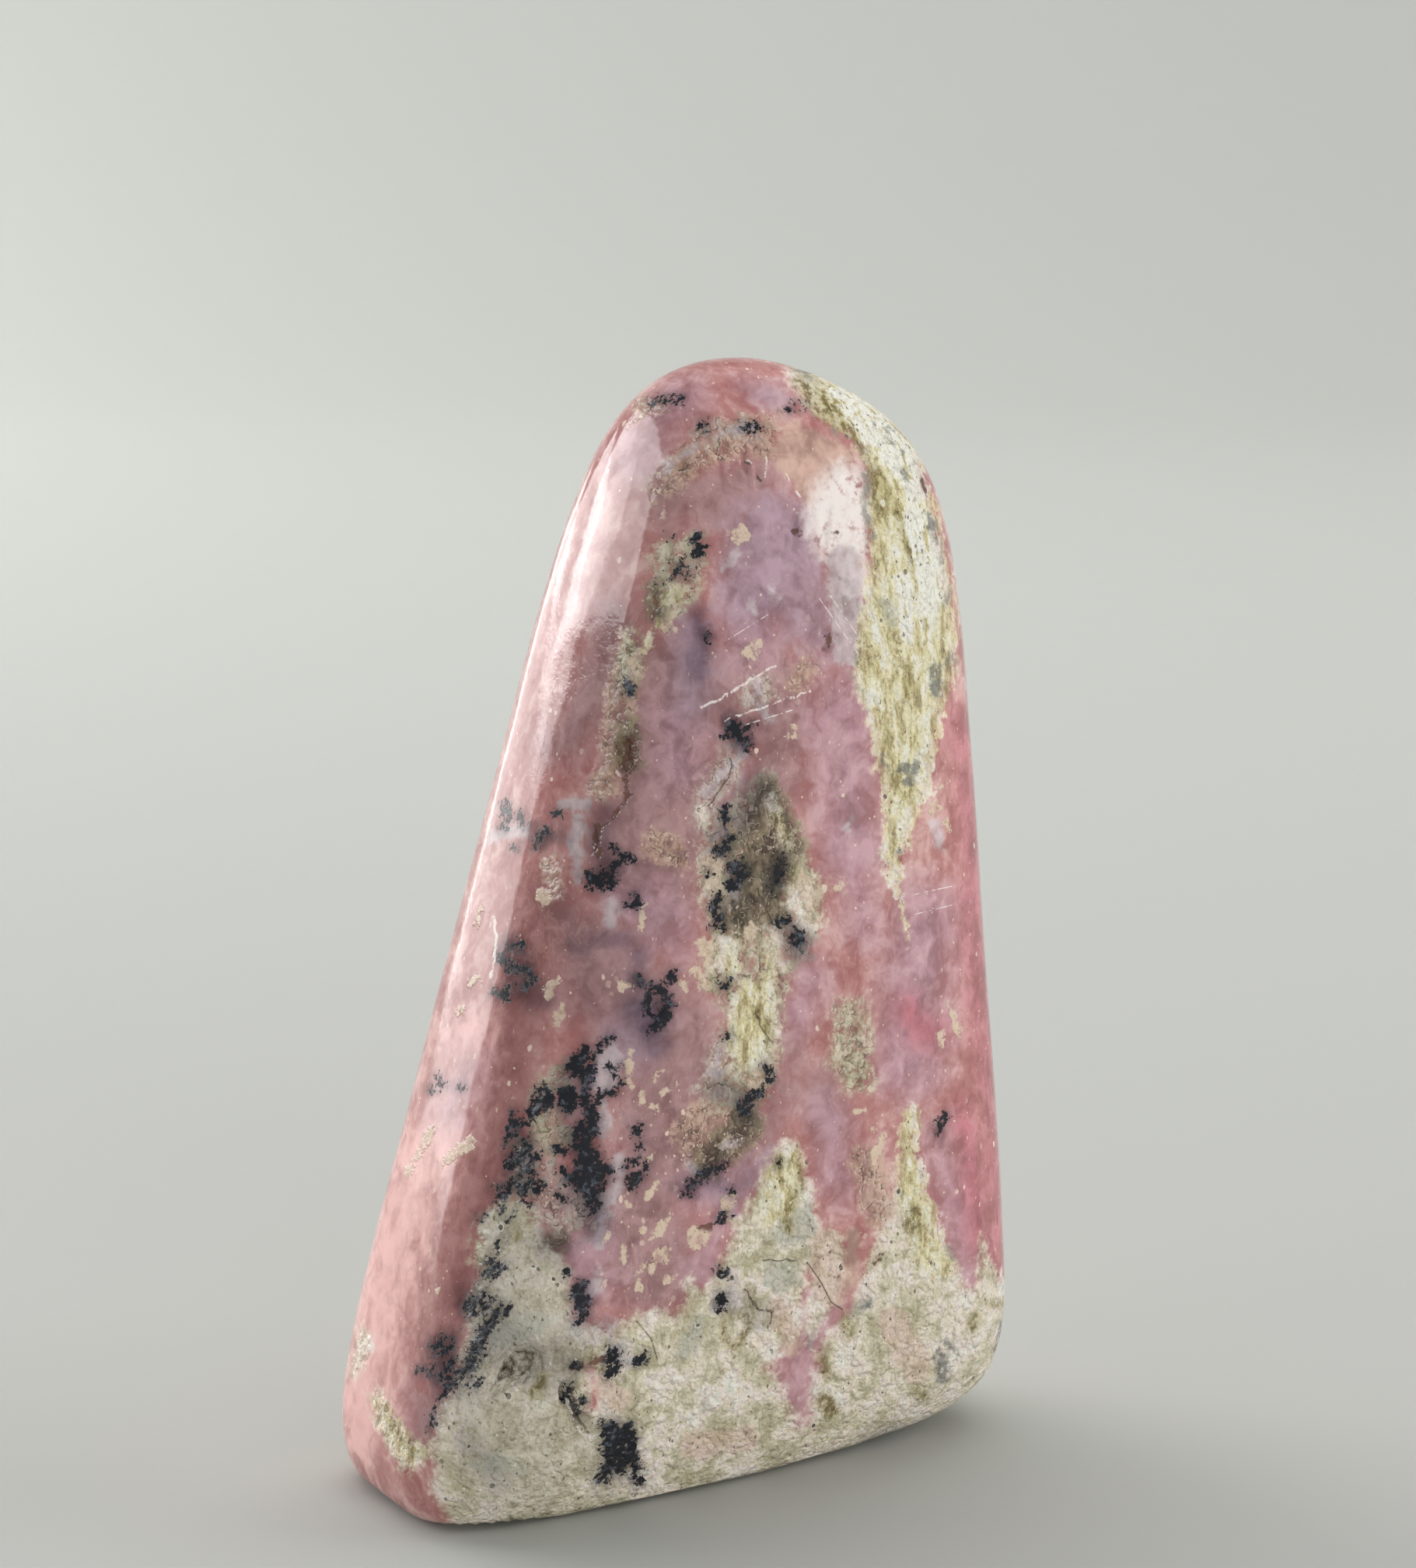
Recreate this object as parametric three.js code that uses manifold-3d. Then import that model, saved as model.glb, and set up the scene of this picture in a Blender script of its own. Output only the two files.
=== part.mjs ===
// A polished freeform of pink opal that stands upright on its own flat base.
// It is one natural piece: flats ground into the rough stone, run together into one smooth
// pebble form, with the crystal pocket, chips and pits that the polish left open.
// Millimetres, +Z up. The origin is under the middle of the stone, on the surface it stands on.
// The main face looks along -Y, and the thin direction is Y.

import * as THREE from "three";
import { mergeVertices } from "three/addons/utils/BufferGeometryUtils.js";
import Module from "manifold-3d";

// Driving dimensions of the ground form. Every flat is given by the direction that it faces and
// by its distance from the heart of the stone. Rim flats face outwards in the XZ plane, and
// their turn is counted in degrees from +X towards +Z.
const HEART = { x: 0.46, z: 42 };
const RIM_FLATS = [
  { name: "right side", turn: 3.5, reach: 27.5 },
  { name: "right shoulder", turn: 61.5, reach: 52 },
  { name: "crown", turn: 78, reach: 70 },
  { name: "left shoulder", turn: 124, reach: 45.5 },
  { name: "left side", turn: 164.5, reach: 20 },
  { name: "left heel", turn: 233, reach: 54 },
  { name: "base", turn: -90, reach: 47 },
  { name: "right heel", turn: -73.5, reach: 48 },
];
const FACE_REACH = 13.5;      // front and back faces, from the heart
const FACE_LEAN = 3;          // degrees that each face leans in towards the crown
const RIM_SHARPNESS = 10;     // how tightly one rim flat turns into the next
const EDGE_SHARPNESS = 3.2;   // how tightly the rim turns into the faces
const BASE_EASE = 1.5;        // height over which the cut base runs into the rounded heel
const BASE_DEPTH = 0.3;       // how far below the standing surface the heel is levelled, before the foot is ground

// The foot: one flat facet at z = 0 that the stone stands on. Its corners are x and y, and
// around it the underside rises at a slight slope, so that only the foot touches.
const FOOT = [
  { x: -23.5, y: -3 }, { x: -17, y: -7.6 }, { x: 4.5, y: -6.6 }, { x: 10.5, y: -2.2 },
  { x: 10.5, y: 2.2 }, { x: 4.5, y: 6.6 }, { x: -17, y: 7.6 }, { x: -23.5, y: 3 },
];
const FOOT_SLOPE = 5;         // degrees

// Faces along X, Y and Z of the box whose grid is drawn out onto the stone
const GRID = { x: 22, y: 12, z: 42 };
const GRID_BOX = { x: 44, y: 24, z: 92 };

// Openings left in the polished front. x and z are on the front face, turn is the lean of the
// long side from upright, in degrees, and rough is how uneven the walls are.
const OPENINGS = [
  { name: "crystal pocket", x: -22.2, z: 15, wide: 4.2, tall: 2.9, deep: 1.1, turn: -20, rough: 0.16 },
  { name: "crystal pocket end", x: -23.3, z: 14.4, wide: 2, tall: 2, deep: 1.5, turn: 0, rough: 0.12 },
  { name: "crack head", x: -18.5, z: 11.9, wide: 0.9, tall: 2.4, deep: 0.9, turn: -10, rough: 0.12 },
  { name: "crack foot", x: -17.1, z: 9.4, wide: 1.8, tall: 1.3, deep: 0.8, turn: 20, rough: 0.12 },
  { name: "base pit", x: -24.1, z: 8.1, wide: 1.2, tall: 1, deep: 0.5, turn: 0, rough: 0.1 },
  { name: "seam pit", x: -5.2, z: 8.2, wide: 0.9, tall: 1.5, deep: 0.6, turn: -12, rough: 0.1 },
  { name: "upper seam pit", x: -4.6, z: 17.6, wide: 1, tall: 1.2, deep: 0.5, turn: 10, rough: 0.1 },
  { name: "ring pit", x: -9.8, z: 43.5, wide: 1.7, tall: 2.4, deep: 0.5, turn: -8, rough: 0.12 },
  { name: "brown hollow", x: -10.5, z: 63.9, wide: 1.3, tall: 3, deep: 0.7, turn: 4, rough: 0.14 },
  { name: "lower brown hollow", x: -13.4, z: 57.1, wide: 1, tall: 2.4, deep: 0.6, turn: 8, rough: 0.14 },
  { name: "round pit", x: -6.6, z: 73.9, wide: 0.9, tall: 0.8, deep: 0.4, turn: 0, rough: 0.08 },
  { name: "oval pit", x: 5.6, z: 81, wide: 0.9, tall: 1.7, deep: 0.5, turn: 10, rough: 0.08 },
  { name: "wedge chip", x: 2.3, z: 86.3, wide: 0.8, tall: 2.9, deep: 0.5, turn: -38, rough: 0.1 },
  { name: "crown pit", x: 8.6, z: 81.2, wide: 1.1, tall: 0.9, deep: 0.4, turn: 30, rough: 0.1 },
  { name: "paired pit", x: 7.6, z: 72.6, wide: 0.7, tall: 0.8, deep: 0.35, turn: 0, rough: 0.08 },
  { name: "paired pit below", x: 7.5, z: 71.4, wide: 0.8, tall: 0.7, deep: 0.35, turn: 20, rough: 0.08 },
];
const OPENING_DETAIL = 1;     // subdivisions of the round tool that sinks an opening

const radians = THREE.MathUtils.degToRad;

// The ground form: a gauge that reads 1 on the surface of the stone, less inside, more outside
const heart = new THREE.Vector3(HEART.x, 0, HEART.z);
const rimFlats = RIM_FLATS.map(({ turn, reach }) => ({
  facing: new THREE.Vector3(Math.cos(radians(turn)), 0, Math.sin(radians(turn))),
  reach,
}));
const lean = radians(FACE_LEAN);
const frontFacing = new THREE.Vector3(0, -Math.cos(lean), Math.sin(lean));
const backFacing = new THREE.Vector3(0, Math.cos(lean), Math.sin(lean));

function towards(fromHeart, facing, reach) {
  return Math.max(0, fromHeart.dot(facing) / reach);
}

function gauge(fromHeart) {
  let rim = 0;
  for (const { facing, reach } of rimFlats) {
    rim += towards(fromHeart, facing, reach) ** RIM_SHARPNESS;
  }
  const front = towards(fromHeart, frontFacing, FACE_REACH) ** EDGE_SHARPNESS;
  const back = towards(fromHeart, backFacing, FACE_REACH) ** EDGE_SHARPNESS;
  const edge = rim ** (EDGE_SHARPNESS / RIM_SHARPNESS);
  return (edge + front + back) ** (1 / EDGE_SHARPNESS);
}

// What would reach further down than the levelled heel is pressed up to it, with an eased edge
function levelHeel(z) {
  const above = z + BASE_DEPTH;
  const within = Math.max(BASE_EASE - Math.abs(above), 0);
  return Math.max(above, 0) + (within * within) / (4 * BASE_EASE) - BASE_DEPTH;
}

function groundForm() {
  const box = new THREE.BoxGeometry(GRID_BOX.x, GRID_BOX.y, GRID_BOX.z, GRID.x, GRID.y, GRID.z);
  const points = box.getAttribute("position");
  const point = new THREE.Vector3();
  for (let i = 0; i < points.count; i += 1) {
    point.fromBufferAttribute(points, i);
    point.divideScalar(gauge(point)).add(heart);
    points.setXYZ(i, point.x, point.y, levelHeel(point.z));
  }
  return box;
}

// The point of the front face at a given x and z, found by halving the way in from outside
function frontPoint(x, z) {
  let outside = -2 * FACE_REACH;
  let inside = 0;
  for (let step = 0; step < 40; step += 1) {
    const y = (outside + inside) / 2;
    if (gauge(new THREE.Vector3(x, y, z).sub(heart)) > 1) outside = y;
    else inside = y;
  }
  return new THREE.Vector3(x, inside, z);
}

function outward(point) {
  const reach = 0.01;
  const slope = ["x", "y", "z"].map((axis) => {
    const ahead = point.clone().sub(heart);
    const behind = ahead.clone();
    ahead[axis] += reach;
    behind[axis] -= reach;
    return gauge(ahead) - gauge(behind);
  });
  return new THREE.Vector3(...slope).normalize();
}

// A rough round tool that is sunk into the face to open one pocket, chip or pit
function openingTool({ x, z, wide, tall, deep, turn, rough }) {
  const tool = new THREE.IcosahedronGeometry(1, OPENING_DETAIL);
  const points = tool.getAttribute("position");
  const point = new THREE.Vector3();
  for (let i = 0; i < points.count; i += 1) {
    point.fromBufferAttribute(points, i);
    const ripple = Math.sin(5 * point.x + 3 * z) * Math.cos(4 * point.z + 2 * x);
    point.multiplyScalar(1 + rough * ripple);
    points.setXYZ(i, (point.x * wide) / 2, point.y * deep, (point.z * tall) / 2);
  }
  const place = frontPoint(x, z);
  const out = outward(place);
  const up = new THREE.Vector3(0, 0, 1);
  const across = new THREE.Vector3().crossVectors(up, out).normalize();
  const rise = new THREE.Vector3().crossVectors(out, across);
  const stand = new THREE.Matrix4().makeBasis(across, out.clone().negate(), rise);
  tool.rotateY(radians(turn));
  tool.applyMatrix4(stand);
  tool.translate(place.x, place.y, place.z);
  return tool;
}

// Closed solids for cutting, and back to a geometry
const wasm = await Module();
wasm.setup();

function toSolid(geometry) {
  const bare = geometry.clone();
  bare.deleteAttribute("normal");
  bare.deleteAttribute("uv");
  const merged = mergeVertices(bare, 1e-4);
  return new wasm.Manifold(new wasm.Mesh({
    numProp: 3,
    vertProperties: new Float32Array(merged.getAttribute("position").array),
    triVerts: new Uint32Array(merged.getIndex().array),
  }));
}

function toGeometry(solid) {
  const mesh = solid.getMesh();
  const geometry = new THREE.BufferGeometry();
  geometry.setAttribute("position", new THREE.BufferAttribute(mesh.vertProperties, 3));
  geometry.setIndex(new THREE.BufferAttribute(mesh.triVerts, 1));
  geometry.computeVertexNormals();
  return geometry;
}

// Grinds the foot: a flat cut at z = 0, then one slightly sloped cut along each of its edges
function grindFoot(solid) {
  const slope = radians(FOOT_SLOPE);
  let ground = solid.trimByPlane([0, 0, 1], 0);
  FOOT.forEach((corner, i) => {
    const next = FOOT[(i + 1) % FOOT.length];
    const outX = next.y - corner.y;
    const outY = corner.x - next.x;
    const length = Math.hypot(outX, outY);
    const normal = [
      (-Math.sin(slope) * outX) / length,
      (-Math.sin(slope) * outY) / length,
      Math.cos(slope),
    ];
    ground = ground.trimByPlane(normal, normal[0] * corner.x + normal[1] * corner.y);
  });
  return ground;
}

function opalStone() {
  let solid = grindFoot(toSolid(groundForm()));
  for (const opening of OPENINGS) {
    solid = solid.subtract(toSolid(openingTool(opening)));
  }
  return toGeometry(solid);
}

const opalMaterial = new THREE.MeshStandardMaterial({
  name: "opal",
  color: new THREE.Color(0.72, 0.46, 0.45),
  roughness: 0.22,
  metalness: 0,
});

const stone = new THREE.Mesh(opalStone(), opalMaterial);
stone.name = "stone";

const opal = new THREE.Group();
opal.add(stone);

export default opal;
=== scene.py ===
# %% [markdown]
# # A polished pink opal, standing on its own base
# This lesson dresses one natural stone. A cutter ground flats into a lump of pink opal, ran them
# together on softer wheels and polished the whole to a waxy gloss. The pink, the cream and olive
# matrix and the black dendrites are one piece of stone, so there is one mesh and one material.
# The frame comes first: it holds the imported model, and everything else is measured from it.

# %% Load the frame and keep its box
import bpy
import math
import numpy as np
from mathutils import Matrix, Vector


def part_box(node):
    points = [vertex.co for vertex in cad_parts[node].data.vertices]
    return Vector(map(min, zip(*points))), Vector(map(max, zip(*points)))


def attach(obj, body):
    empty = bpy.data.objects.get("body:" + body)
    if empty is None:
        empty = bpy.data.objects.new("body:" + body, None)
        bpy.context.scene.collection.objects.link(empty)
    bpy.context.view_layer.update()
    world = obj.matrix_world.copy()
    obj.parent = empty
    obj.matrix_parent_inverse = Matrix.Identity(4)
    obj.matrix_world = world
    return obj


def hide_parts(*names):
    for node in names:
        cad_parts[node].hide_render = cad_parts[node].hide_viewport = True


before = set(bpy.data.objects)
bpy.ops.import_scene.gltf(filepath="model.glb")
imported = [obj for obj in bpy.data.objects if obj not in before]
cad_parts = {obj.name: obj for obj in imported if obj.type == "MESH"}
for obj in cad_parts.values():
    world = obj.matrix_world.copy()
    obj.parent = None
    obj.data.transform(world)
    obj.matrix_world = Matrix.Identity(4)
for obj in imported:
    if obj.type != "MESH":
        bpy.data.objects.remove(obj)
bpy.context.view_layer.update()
scene = bpy.context.scene
low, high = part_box("stone")
print("the packed stone reaches from", tuple(low), "to", tuple(high))

# %% [markdown]
# ## The camera
# The photograph looks a little down on the stone, from the left of its main face. Its camera
# stands on a turntable of its own here: an azimuth, an elevation and a distance from the point
# that it looks at. A pinhole is enough, so there is no depth of field and no lens shift.
# Blender measures the lens against the long side of a picture, which is its height here.

# %% Camera at the photograph's viewing angle
MM = 0.001
PHOTO_WIDE, PHOTO_TALL = 1821, 2016
AZIMUTH, ELEVATION = math.radians(-30), math.radians(10.9)
STONE_MIDDLE = 0.46                   # millimetres from the origin, along X
DISTANCE = 330                        # millimetres from the aim to the lens
AIM_ACROSS, AIM_UP = 2.04, 58.82      # the aim, from under the stone's middle
LENS_IN_PIXELS = 4999
SENSOR = 36                           # millimetres, along the photograph's height

right = np.array([math.cos(AZIMUTH), math.sin(AZIMUTH), 0])
back = np.array([math.sin(AZIMUTH) * math.cos(ELEVATION),
                 -math.cos(AZIMUTH) * math.cos(ELEVATION),
                 math.sin(ELEVATION)])
up = np.cross(back, right)
eye = np.array([STONE_MIDDLE, 0, AIM_UP]) + right * AIM_ACROSS + back * DISTANCE


def standing(across, upward, outward, place):
    """The placement of a camera or lamp: its right, its top, the way behind it, and its spot."""
    return Matrix([(across[i], upward[i], outward[i], place[i]) for i in range(3)] + [(0, 0, 0, 1)])


camera = bpy.data.objects.new("camera", bpy.data.cameras.new("camera"))
scene.collection.objects.link(camera)
camera.matrix_world = standing(right, up, back, eye * MM)
camera.data.sensor_fit = "VERTICAL"
camera.data.sensor_height = SENSOR
camera.data.lens = LENS_IN_PIXELS / PHOTO_TALL * SENSOR
camera.data.clip_start = 10 * MM
scene.camera = camera
print("lens", round(camera.data.lens, 1), "mm at", eye.round(), "mm")


# %% A point of the stone, as a pixel of the photograph
def photo_pixel(points):
    """Pixels across and down the photograph at which each point shows."""
    away = points - eye
    depth = -(away @ back)
    across = PHOTO_WIDE / 2 + LENS_IN_PIXELS * (away @ right) / depth
    down = PHOTO_TALL / 2 - LENS_IN_PIXELS * (away @ up) / depth
    return across, down


# %% [markdown]
# ## The ground form
# A cutter works a freeform like this in flats: two broad faces, and laps around the rim, which
# are then rounded into one another. The mesh follows the same idea. A gauge adds up how far a
# direction runs towards each flat, raised to a power, and the power says how tightly the flats
# turn into each other. A sculpted or subdivided block could be pushed to the same outline, but
# the gauge gives a surface that stays smooth at any fineness, which a polished stone needs.

# %% Flats of the stone
HEART = np.array([STONE_MIDDLE, 0, 42])
RIM_FLATS = {                         # degrees from +X towards +Z, and millimetres from the heart
    "right side": (3.5, 27.5),
    "right shoulder": (61.5, 52),
    "crown": (78, 70),
    "left shoulder": (124, 45.5),
    "left side": (164.5, 20),
    "left heel": (233, 54),
    "base": (-90, 47),
    "right heel": (-73.5, 48),
}
FACE_REACH = 13.5                     # front and rear faces, from the heart
FACE_LEAN = math.radians(3)           # each face leans in towards the crown
RIM_SHARPNESS = 10                    # how tightly one rim flat turns into the next
EDGE_SHARPNESS = 3.2                  # how tightly the rim turns into the faces
BASE_EASE = 1.5                       # height over which the base runs into the heel
BASE_DEPTH = 0.3                      # how far down the heel is levelled
FOOT = [(-23.5, -3), (-17, -7.6), (4.5, -6.6), (10.5, -2.2), (10.5, 2.2), (4.5, 6.6), (-17, 7.6), (-23.5, 3)]
FOOT_SLOPE = math.radians(5)


def towards(directions, facing, reach):
    return np.maximum(0, directions @ np.array(facing) / reach)


def gauge(directions):
    """How far each direction runs towards the flats. It is one on the stone's surface."""
    rim = 0
    for turn, reach in RIM_FLATS.values():
        angle = math.radians(turn)
        rim = rim + towards(directions, (math.cos(angle), 0, math.sin(angle)), reach) ** RIM_SHARPNESS
    lean_out, lean_up = math.cos(FACE_LEAN), math.sin(FACE_LEAN)
    front = towards(directions, (0, -lean_out, lean_up), FACE_REACH) ** EDGE_SHARPNESS
    rear = towards(directions, (0, lean_out, lean_up), FACE_REACH) ** EDGE_SHARPNESS
    return (rim ** (EDGE_SHARPNESS / RIM_SHARPNESS) + front + rear) ** (1 / EDGE_SHARPNESS)


# %% [markdown]
# ### A grid drawn out onto the form
# The points start as the skin of a box that is cut into small squares, and each one is drawn out
# from the heart until the gauge reads one. A sphere of rings would pinch at its poles, where the
# gloss shows every crease. The box has no poles.

# %% Skin of a box, as points and squares
CELLS = (142, 30, 262)
BOX_HALF = np.array([22, 12, 46])


def box_skin(cells):
    """Points from -1 to 1 on the skin of a box, and its squares, as the numbers of their points."""
    wide, deep, tall = cells
    spot = np.stack(np.meshgrid(*[np.arange(n + 1) for n in cells], indexing="ij"), -1)
    on_skin = ((spot == 0) | (spot == np.array(cells))).any(-1)
    number = np.full(on_skin.shape, -1)
    number[on_skin] = np.arange(on_skin.sum())
    sides = [
        (number[0, ::-1], number[wide]),
        (number[:, 0], number[::-1, deep]),
        (number[::-1, :, 0], number[:, :, tall]),
    ]
    squares = []
    for pair in sides:
        for side in pair:
            corners = [side[:-1, :-1], side[1:, :-1], side[1:, 1:], side[:-1, 1:]]
            squares.append(np.stack([c.ravel() for c in corners], -1))
    return spot[on_skin] / np.array(cells) * 2 - 1, np.concatenate(squares)


spots, squares = box_skin(CELLS)
directions = spots * BOX_HALF
INSET = 0.998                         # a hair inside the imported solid, whose box it must stay in
points = HEART + directions / gauge(directions)[:, None] * INSET
print(len(points), "points and", 2 * len(squares), "triangles")


# %% [markdown]
# ### Outward directions, and which side the photograph shows
# The gauge grows fastest straight out of the stone, so its slope is the surface's own normal.
# The base is ground after that: the heel is levelled, and the underside rises at a slight slope
# around a small flat foot, so that only the foot touches the floor.

# %% Normals, the side that is seen, and the ground base
def slope_of(function, where, reach=0.01):
    steps = np.eye(3) * reach
    return np.stack([function(where + step) - function(where - step) for step in steps], -1)


normals = slope_of(gauge, points - HEART)
normals /= np.linalg.norm(normals, axis=1)[:, None]
facing = (normals * (eye - points)).sum(1) / np.linalg.norm(eye - points, axis=1)
above = points[:, 2] + BASE_DEPTH
within = np.maximum(BASE_EASE - np.abs(above), 0)
levelled = np.maximum(above, 0) + within ** 2 / (4 * BASE_EASE) - BASE_DEPTH
beyond_foot = np.zeros(len(points))
for (ax, ay), (bx, by) in zip(FOOT, FOOT[1:] + FOOT[:1]):
    aside = (points[:, 0] - ax) * (by - ay) + (points[:, 1] - ay) * (ax - bx)
    beyond_foot = np.maximum(beyond_foot, aside / math.hypot(bx - ax, by - ay))
points[:, 2] = np.maximum(levelled, beyond_foot * math.tan(FOOT_SLOPE))
print(round(float((facing > 0).mean()) * 100), "% of the points are seen")

# %% [markdown]
# ## Reading the marks
# Each mark is an outline, a stroke or a row of dots, read in the photograph's pixels. The
# script turns them into fields: at every point of the mesh, how deep inside a mark it is, in
# millimetres. The material cuts each field at zero and frays the cut with noise, so the edge is
# far finer than the mesh. Painting the marks on an image would be quicker to draw, but a field
# keeps its edge at any size, and it stays a few plain numbers that can be mended by hand.
# The back of the stone isn't in the photograph. Veins run through a stone, so its marks are
# carried through and let drift on the way, more the further they go from the visible side.

# %% Where a point of the stone lies on the drawing of the marks
PIXELS_PER_MM = 15.9
DRIFT_ACROSS, DRIFT_DOWN = 74, -58    # pixels that the marks have moved where they come out behind
DRIFT_WANDER = 90                     # pixels more, to and fro
TURNED_AWAY = 0.7                     # sine past the visible edge by which a change is complete
WAVES = 5                             # sines that add up to one wander
ONE_TURN = 6.28                       # radians


def ripple(where, size, seed):
    """A smooth wander between -1 and 1, with waves of about size millimetres."""
    turn = np.random.default_rng(seed)
    total = 0
    for _ in range(WAVES):
        wave = turn.normal(size=3)
        wave *= 2 * math.pi / size / np.linalg.norm(wave)
        total = total + np.sin(where @ wave + turn.uniform(0, ONE_TURN))
    return total / 3


across, down = photo_pixel(points)
hidden = np.clip(-facing / TURNED_AWAY, 0, 1)
across = across + hidden * (DRIFT_ACROSS + DRIFT_WANDER * ripple(points, 34, 3))
down = down + hidden * (DRIFT_DOWN + DRIFT_WANDER * ripple(points, 41, 4))


# %% Fields from outlines, strokes and dots
REACH = 45                            # pixels; further out than this a field stays flat
TINY = 1e-9                           # keeps a line of no length from dividing by zero


def near_line(x, y, a, b):
    ax, ay = a
    bx, by = b
    length = (bx - ax) ** 2 + (by - ay) ** 2
    along = np.clip(((x - ax) * (bx - ax) + (y - ay) * (by - ay)) / max(length, TINY), 0, 1)
    return np.hypot(x - ax - along * (bx - ax), y - ay - along * (by - ay))


def inside(x, y, outline):
    odd = np.zeros(len(x), bool)
    for (ax, ay), (bx, by) in zip(outline, outline[1:] + outline[:1]):
        crosses = (ay > y) != (by > y)
        at = ax + (y - ay) * (bx - ax) / ((by - ay) or TINY)
        odd ^= crosses & (x < at)
    return odd


def patch(*outline):
    """A closed outline."""
    def depth(x, y):
        edge = np.min([near_line(x, y, a, b) for a, b in zip(outline, outline[1:] + outline[:1])], 0)
        return np.where(inside(x, y, outline), edge, -edge)
    return outline, 0, depth


def stroke(width, *line):
    """A line of a given width, with round ends. One point alone is a dot."""
    def depth(x, y):
        pairs = list(zip(line, line[1:])) or [(line[0], line[0])]
        return width / 2 - np.min([near_line(x, y, a, b) for a, b in pairs], 0)
    return line, width, depth


def dots(width, *centres):
    return [stroke(width, centre) for centre in centres]


def field(marks):
    """How deep inside a mark each point is, in millimetres. Outside it is below zero."""
    total = np.full(len(points), -float(REACH))
    for mark in marks:
        for line, width, depth in (mark if isinstance(mark, list) else [mark]):
            xs, ys = np.array(line).T
            reach = REACH + width
            near = ((across > xs.min() - reach) & (across < xs.max() + reach)
                    & (down > ys.min() - reach) & (down < ys.max() + reach))
            total[near] = np.maximum(total[near], depth(across[near], down[near]))
    return total / PIXELS_PER_MM


# %% [markdown]
# ## Matrix
# The matrix is the rock that the opal grew in: cream, olive and grey-green, a little softer than
# the opal, so it takes less polish and keeps small holes. It shows as a fibrous band down the
# right shoulder, an island in the middle, and the whole foot of the stone, whose upper edge
# climbs into the pink in peaks.

# %% Outlines of the matrix
MATRIX = [
    patch((1022, 455), (1010, 480), (1020, 500), (1034, 512), (1042, 534), (1062, 547), (1088, 561),
          (1104, 578), (1112, 600), (1109, 640), (1114, 690), (1121, 735), (1111, 762), (1105, 800),
          (1101, 840), (1096, 872), (1101, 897), (1113, 908), (1119, 935), (1124, 965), (1131, 1000),
          (1137, 1040), (1139, 1075), (1133, 1098), (1139, 1120), (1149, 1148), (1159, 1172), (1170, 1215),
          (1166, 1180), (1159, 1140), (1163, 1105), (1172, 1070), (1184, 1040), (1197, 1020), (1204, 995),
          (1206, 965), (1212, 930), (1220, 900), (1229, 870), (1234, 835), (1233, 795), (1228, 750),
          (1222, 700), (1211, 650), (1199, 608), (1186, 575), (1172, 545), (1130, 500), (1065, 455)),
    patch((985, 1192), (1000, 1188), (1005, 1212), (1010, 1240), (1002, 1262), (992, 1285), (1000, 1300),
          (1003, 1330), (992, 1352), (984, 1372), (962, 1388), (946, 1374), (936, 1350), (938, 1312),
          (944, 1285), (950, 1262), (975, 1258), (986, 1250), (983, 1218)),
    patch((1018, 1100), (1036, 1096), (1050, 1122), (1060, 1150), (1058, 1178), (1044, 1198), (1030, 1196),
          (1022, 1172), (1010, 1160), (1012, 1130)),
    patch((902, 1112), (925, 1108), (938, 1126), (946, 1150), (938, 1168), (926, 1150), (912, 1160),
          (900, 1142)),
    patch((925, 1200), (945, 1204), (952, 1226), (948, 1252), (930, 1258), (918, 1240), (922, 1220)),
    stroke(12, (905, 1040), (912, 1060)),
    stroke(10, (990, 1030), (1000, 1050), (1012, 1075), (1016, 1095)),
    patch((634, 1550), (619, 1578), (622, 1605), (632, 1622), (612, 1642), (600, 1662), (597, 1690),
          (600, 1712), (590, 1732), (583, 1765), (578, 1790), (563, 1806), (557, 1835), (560, 1852),
          (549, 1868), (560, 1890), (551, 1912), (566, 1940), (600, 2000), (1320, 2000), (1320, 1650),
          (1299, 1652), (1287, 1638), (1274, 1612), (1265, 1586), (1259, 1605), (1256, 1650), (1246, 1656),
          (1237, 1638), (1229, 1612), (1218, 1594), (1208, 1578), (1205, 1550), (1193, 1536), (1196, 1512),
          (1186, 1490), (1181, 1465), (1184, 1440), (1176, 1417), (1165, 1430), (1156, 1452), (1158, 1480),
          (1155, 1506), (1148, 1532), (1140, 1562), (1127, 1592), (1115, 1622), (1105, 1652), (1093, 1682),
          (1086, 1672), (1091, 1648), (1090, 1602), (1074, 1580), (1053, 1578), (1050, 1552), (1047, 1528),
          (1040, 1508), (1034, 1488), (1030, 1468), (1013, 1463), (1001, 1477), (989, 1497), (979, 1504),
          (971, 1524), (962, 1545), (952, 1560), (943, 1582), (934, 1604), (924, 1622), (916, 1644),
          (902, 1656), (890, 1644), (880, 1650), (877, 1674), (868, 1688), (846, 1680), (828, 1690),
          (808, 1696), (786, 1712), (768, 1702), (750, 1700), (738, 1690), (737, 1660), (733, 1630),
          (718, 1612), (700, 1600), (690, 1580), (690, 1560), (678, 1542), (656, 1534)),
    patch((474, 1792), (484, 1780), (496, 1800), (512, 1826), (530, 1850), (562, 1856), (560, 1872),
          (536, 1886), (524, 1906), (514, 1890), (496, 1862), (480, 1830)),
    patch((449, 1745), (462, 1700), (474, 1712), (478, 1738), (465, 1762), (450, 1775)),
    patch((852, 752), (872, 746), (886, 760), (880, 776), (862, 780), (850, 770)),
    stroke(12, (842, 800), (838, 820), (828, 838)),
]
print(len(MATRIX), "patches of matrix")

# %% [markdown]
# ### Pink left inside the matrix
# A tongue of opal lies in the foot of the stone. It is taken away from the matrix field again.

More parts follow.
